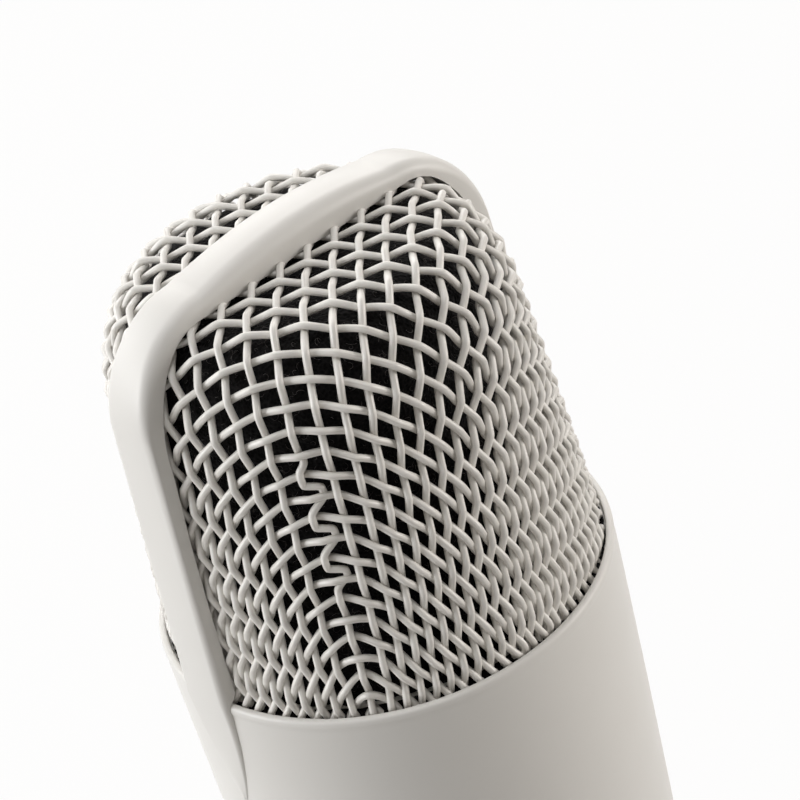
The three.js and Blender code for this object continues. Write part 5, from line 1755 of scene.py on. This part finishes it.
@dataclass(frozen=True)
class PhotoCamera:
    """Camera at the photograph's viewing angle, close to the head and shifted to its principal point."""

    azimuth: float = -32.44
    elevation: float = 30.53
    roll: float = -16.99
    distance: float = 243.33
    focal_pixels: float = 2325.9
    frame_pixels: float = 800.0
    principal: Tuple[float, float] = (314.1, 339.6)
    target_rise: float = 30.0
    sensor: float = 36.0

    def build(self, rim_z: float) -> bpy.types.Object:
        """Places the camera on a sphere round the target and shifts its frame.

        Args:
            rim_z: height of the body's rim in millimetres.

        Returns:
            The camera.
        """
        a, r = np.radians([self.azimuth, self.roll])
        back = seen_from(self.azimuth, self.elevation)
        right = np.array([np.cos(a), np.sin(a), 0.0])
        up = np.cross(back, right)
        x_axis = np.cos(r) * right + np.sin(r) * up
        y_axis = -np.sin(r) * right + np.cos(r) * up
        spot = (np.array([0, 0, rim_z + self.target_rise]) + back * self.distance) * MM
        data = bpy.data.cameras.new("photo_camera")
        data.sensor_width = self.sensor
        data.lens = self.focal_pixels / self.frame_pixels * self.sensor
        data.shift_x = 0.5 - self.principal[0] / self.frame_pixels
        data.shift_y = self.principal[1] / self.frame_pixels - 0.5
        data.clip_start = 0.01
        data.clip_end = 50.0
        camera = add_object("photo_camera", data)
        columns = np.stack([x_axis, y_axis, back, spot], 1)
        camera.matrix_world = Matrix([*columns.tolist(), [0, 0, 0, 1]])
        bpy.context.scene.camera = camera
        return camera


@dataclass(frozen=True)
class AreaLamp:
    """Soft rectangular lamp aimed at the microphone."""

    name: str
    azimuth: float
    elevation: float
    distance: float
    size: float
    power: float
    colour: Colour = (1.0, 1.0, 1.0)
    target: Tuple[float, float, float] = (0.0, 0.0, 0.2)

    def build(self) -> bpy.types.Object:
        """Places the lamp on a sphere round its target.

        Returns:
            The lamp.
        """
        away = Vector(seen_from(self.azimuth, self.elevation))
        data = bpy.data.lights.new(self.name, "AREA")
        data.shape = "SQUARE"
        data.size = self.size
        data.energy = self.power
        data.color = self.colour
        lamp = add_object(self.name, data)
        lamp.location = Vector(self.target) + away * self.distance
        lamp.rotation_euler = away.to_track_quat("Z", "Y").to_euler()
        return lamp


@dataclass(frozen=True)
class Studio:
    """White ground, soft lamps and an even surround."""

    floor_half: float = 4.0
    floor_gap: float = 0.0004
    floor_colour: Colour = (0.5, 0.49, 0.475)
    floor_glow: float = 1.05
    glow_share: float = 0.86
    backdrop: Colour = (0.91, 0.91, 0.91)
    surround_colour: Colour = (1.0, 0.9, 0.8)
    surround: float = 0.1
    lamps: Tuple[AreaLamp, ...] = (
        AreaLamp("left_lamp", -113.0, 15.0, 1.3, 0.7, 10.6, (0.985, 0.99, 1.0)),
        AreaLamp("left_rear_lamp", -150.0, 30.0, 1.3, 1.0, 7.2, (0.985, 0.99, 1.0)),
        AreaLamp("top_lamp", 0.0, 85.0, 1.3, 1.0, 6.0, (0.985, 0.99, 1.0)),
        AreaLamp("right_rear_lamp", 140.0, 35.0, 1.3, 1.0, 8.8, (1.0, 0.98, 0.96)),
        AreaLamp("right_lamp", 50.0, 10.0, 1.3, 0.6, 9.4, (1.0, 0.96, 0.92)),
    )

    def seen(self, tree: bpy.types.NodeTree) -> Socket:
        """Share of rays that see the ground directly, in a mirror or through glass.

        Args:
            tree: tree of the floor's material or of the world.

        Returns:
            The share's socket.
        """
        path = add_node(tree, "ShaderNodeLightPath")
        total = path.outputs["Is Camera Ray"]
        for name in ("Is Glossy Ray", "Is Transmission Ray"):
            total = add_math(tree, "MAXIMUM", total, path.outputs[name])
        return total

    def world(self) -> None:
        """Even pale surround, white where it is seen."""
        world = bpy.data.worlds.new("surround")
        world.use_nodes = True
        tree = world.node_tree
        tree.nodes.clear()
        light = add_node(tree, "ShaderNodeBackground", Color=(*self.surround_colour, 1), Strength=self.surround)
        ground = add_node(tree, "ShaderNodeBackground", Color=(*self.backdrop, 1))
        mixed = mix_shaders(tree, self.seen(tree), light.outputs[0], ground.outputs[0])
        add_node(tree, "ShaderNodeOutputWorld", Surface=mixed)
        bpy.context.scene.world = world

    def floor(self) -> bpy.types.Object:
        """Flat floor that is nearly white where it is seen and still takes the shadow.

        Returns:
            The floor.
        """
        h, z = self.floor_half, -self.floor_gap
        mesh = bpy.data.meshes.new("studio_floor")
        mesh.from_pydata([(-h, -h, z), (h, -h, z), (h, h, z), (-h, h, z)], [], [(0, 1, 2, 3)])
        floor = add_object("studio_floor", mesh)
        material = bpy.data.materials.new("studio_floor")
        material.use_nodes = True
        tree = material.node_tree
        tree.nodes.clear()
        matt = add_node(tree, "ShaderNodeBsdfDiffuse", Color=(*self.floor_colour, 1))
        glow = add_node(tree, "ShaderNodeEmission", Color=(1, 1, 1, 1), Strength=self.floor_glow)
        share = add_math(tree, "MULTIPLY", self.seen(tree), self.glow_share)
        mixed = mix_shaders(tree, share, matt.outputs[0], glow.outputs[0])
        add_node(tree, "ShaderNodeOutputMaterial", Surface=mixed)
        floor.data.materials.append(material)
        return floor

    def build(self) -> None:
        """Builds the surround, the floor and the lamps."""
        self.world()
        self.floor()
        for lamp in self.lamps:
            lamp.build()
        bpy.context.scene.view_settings.view_transform = "Standard"


def main() -> None:
    """Builds the camera, the studio and every piece of the microphone in order."""
    logging.basicConfig(level=logging.INFO, format="%(message)s")
    shape = HeadShape(rim_z=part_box("body_shell")[1].z / MM)
    PhotoCamera().build(shape.rim_z)
    Studio().build()
    rack = FinishRack()
    KeptNodes().build(rack)
    net = WovenNet(shape)
    for facing in Facing:
        WireGrille(net, facing).build(rack)
    CastBand(shape).build(rack)
    HeadSeat(shape).build(rack)
    lining = FoamLining(shape)
    lining.build(rack)
    FoamFibres(lining).build(rack)
    BodyShell(shape).build(rack)
    knob_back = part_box("volume_knob")[1].y / MM
    knob_z = shape.rim_z - BodyShell.shaft_hole[0]
    FlutedKnob("volume_dial", "volume_knob", "volume_knob", Axis.FRONT, (0, knob_back, knob_z),
               radius=8.6, length=9.0, flutes=18, flute_depth=0.5, pointer=True, bore=(3.05, 5.9)).build(rack)
    clamp_low, clamp_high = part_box("tilt_knob")
    pivot_z = (clamp_low.z + clamp_high.z) / (2 * MM)
    FlutedKnob("clamp_knob", "tilt_knob", "tilt_knob", Axis.RIGHT, (clamp_low.x / MM, 0, pivot_z),
               radius=9.7, length=12.0, flutes=9, flute_depth=1.3, waist=(6.4, 2.2),
               bore=(3.1, 9.2)).build(rack)
    PushButton(shape).build(rack)
    LightGuide(shape).build(rack)
    Stand().build(rack)


if __name__ == "__main__":
    main()
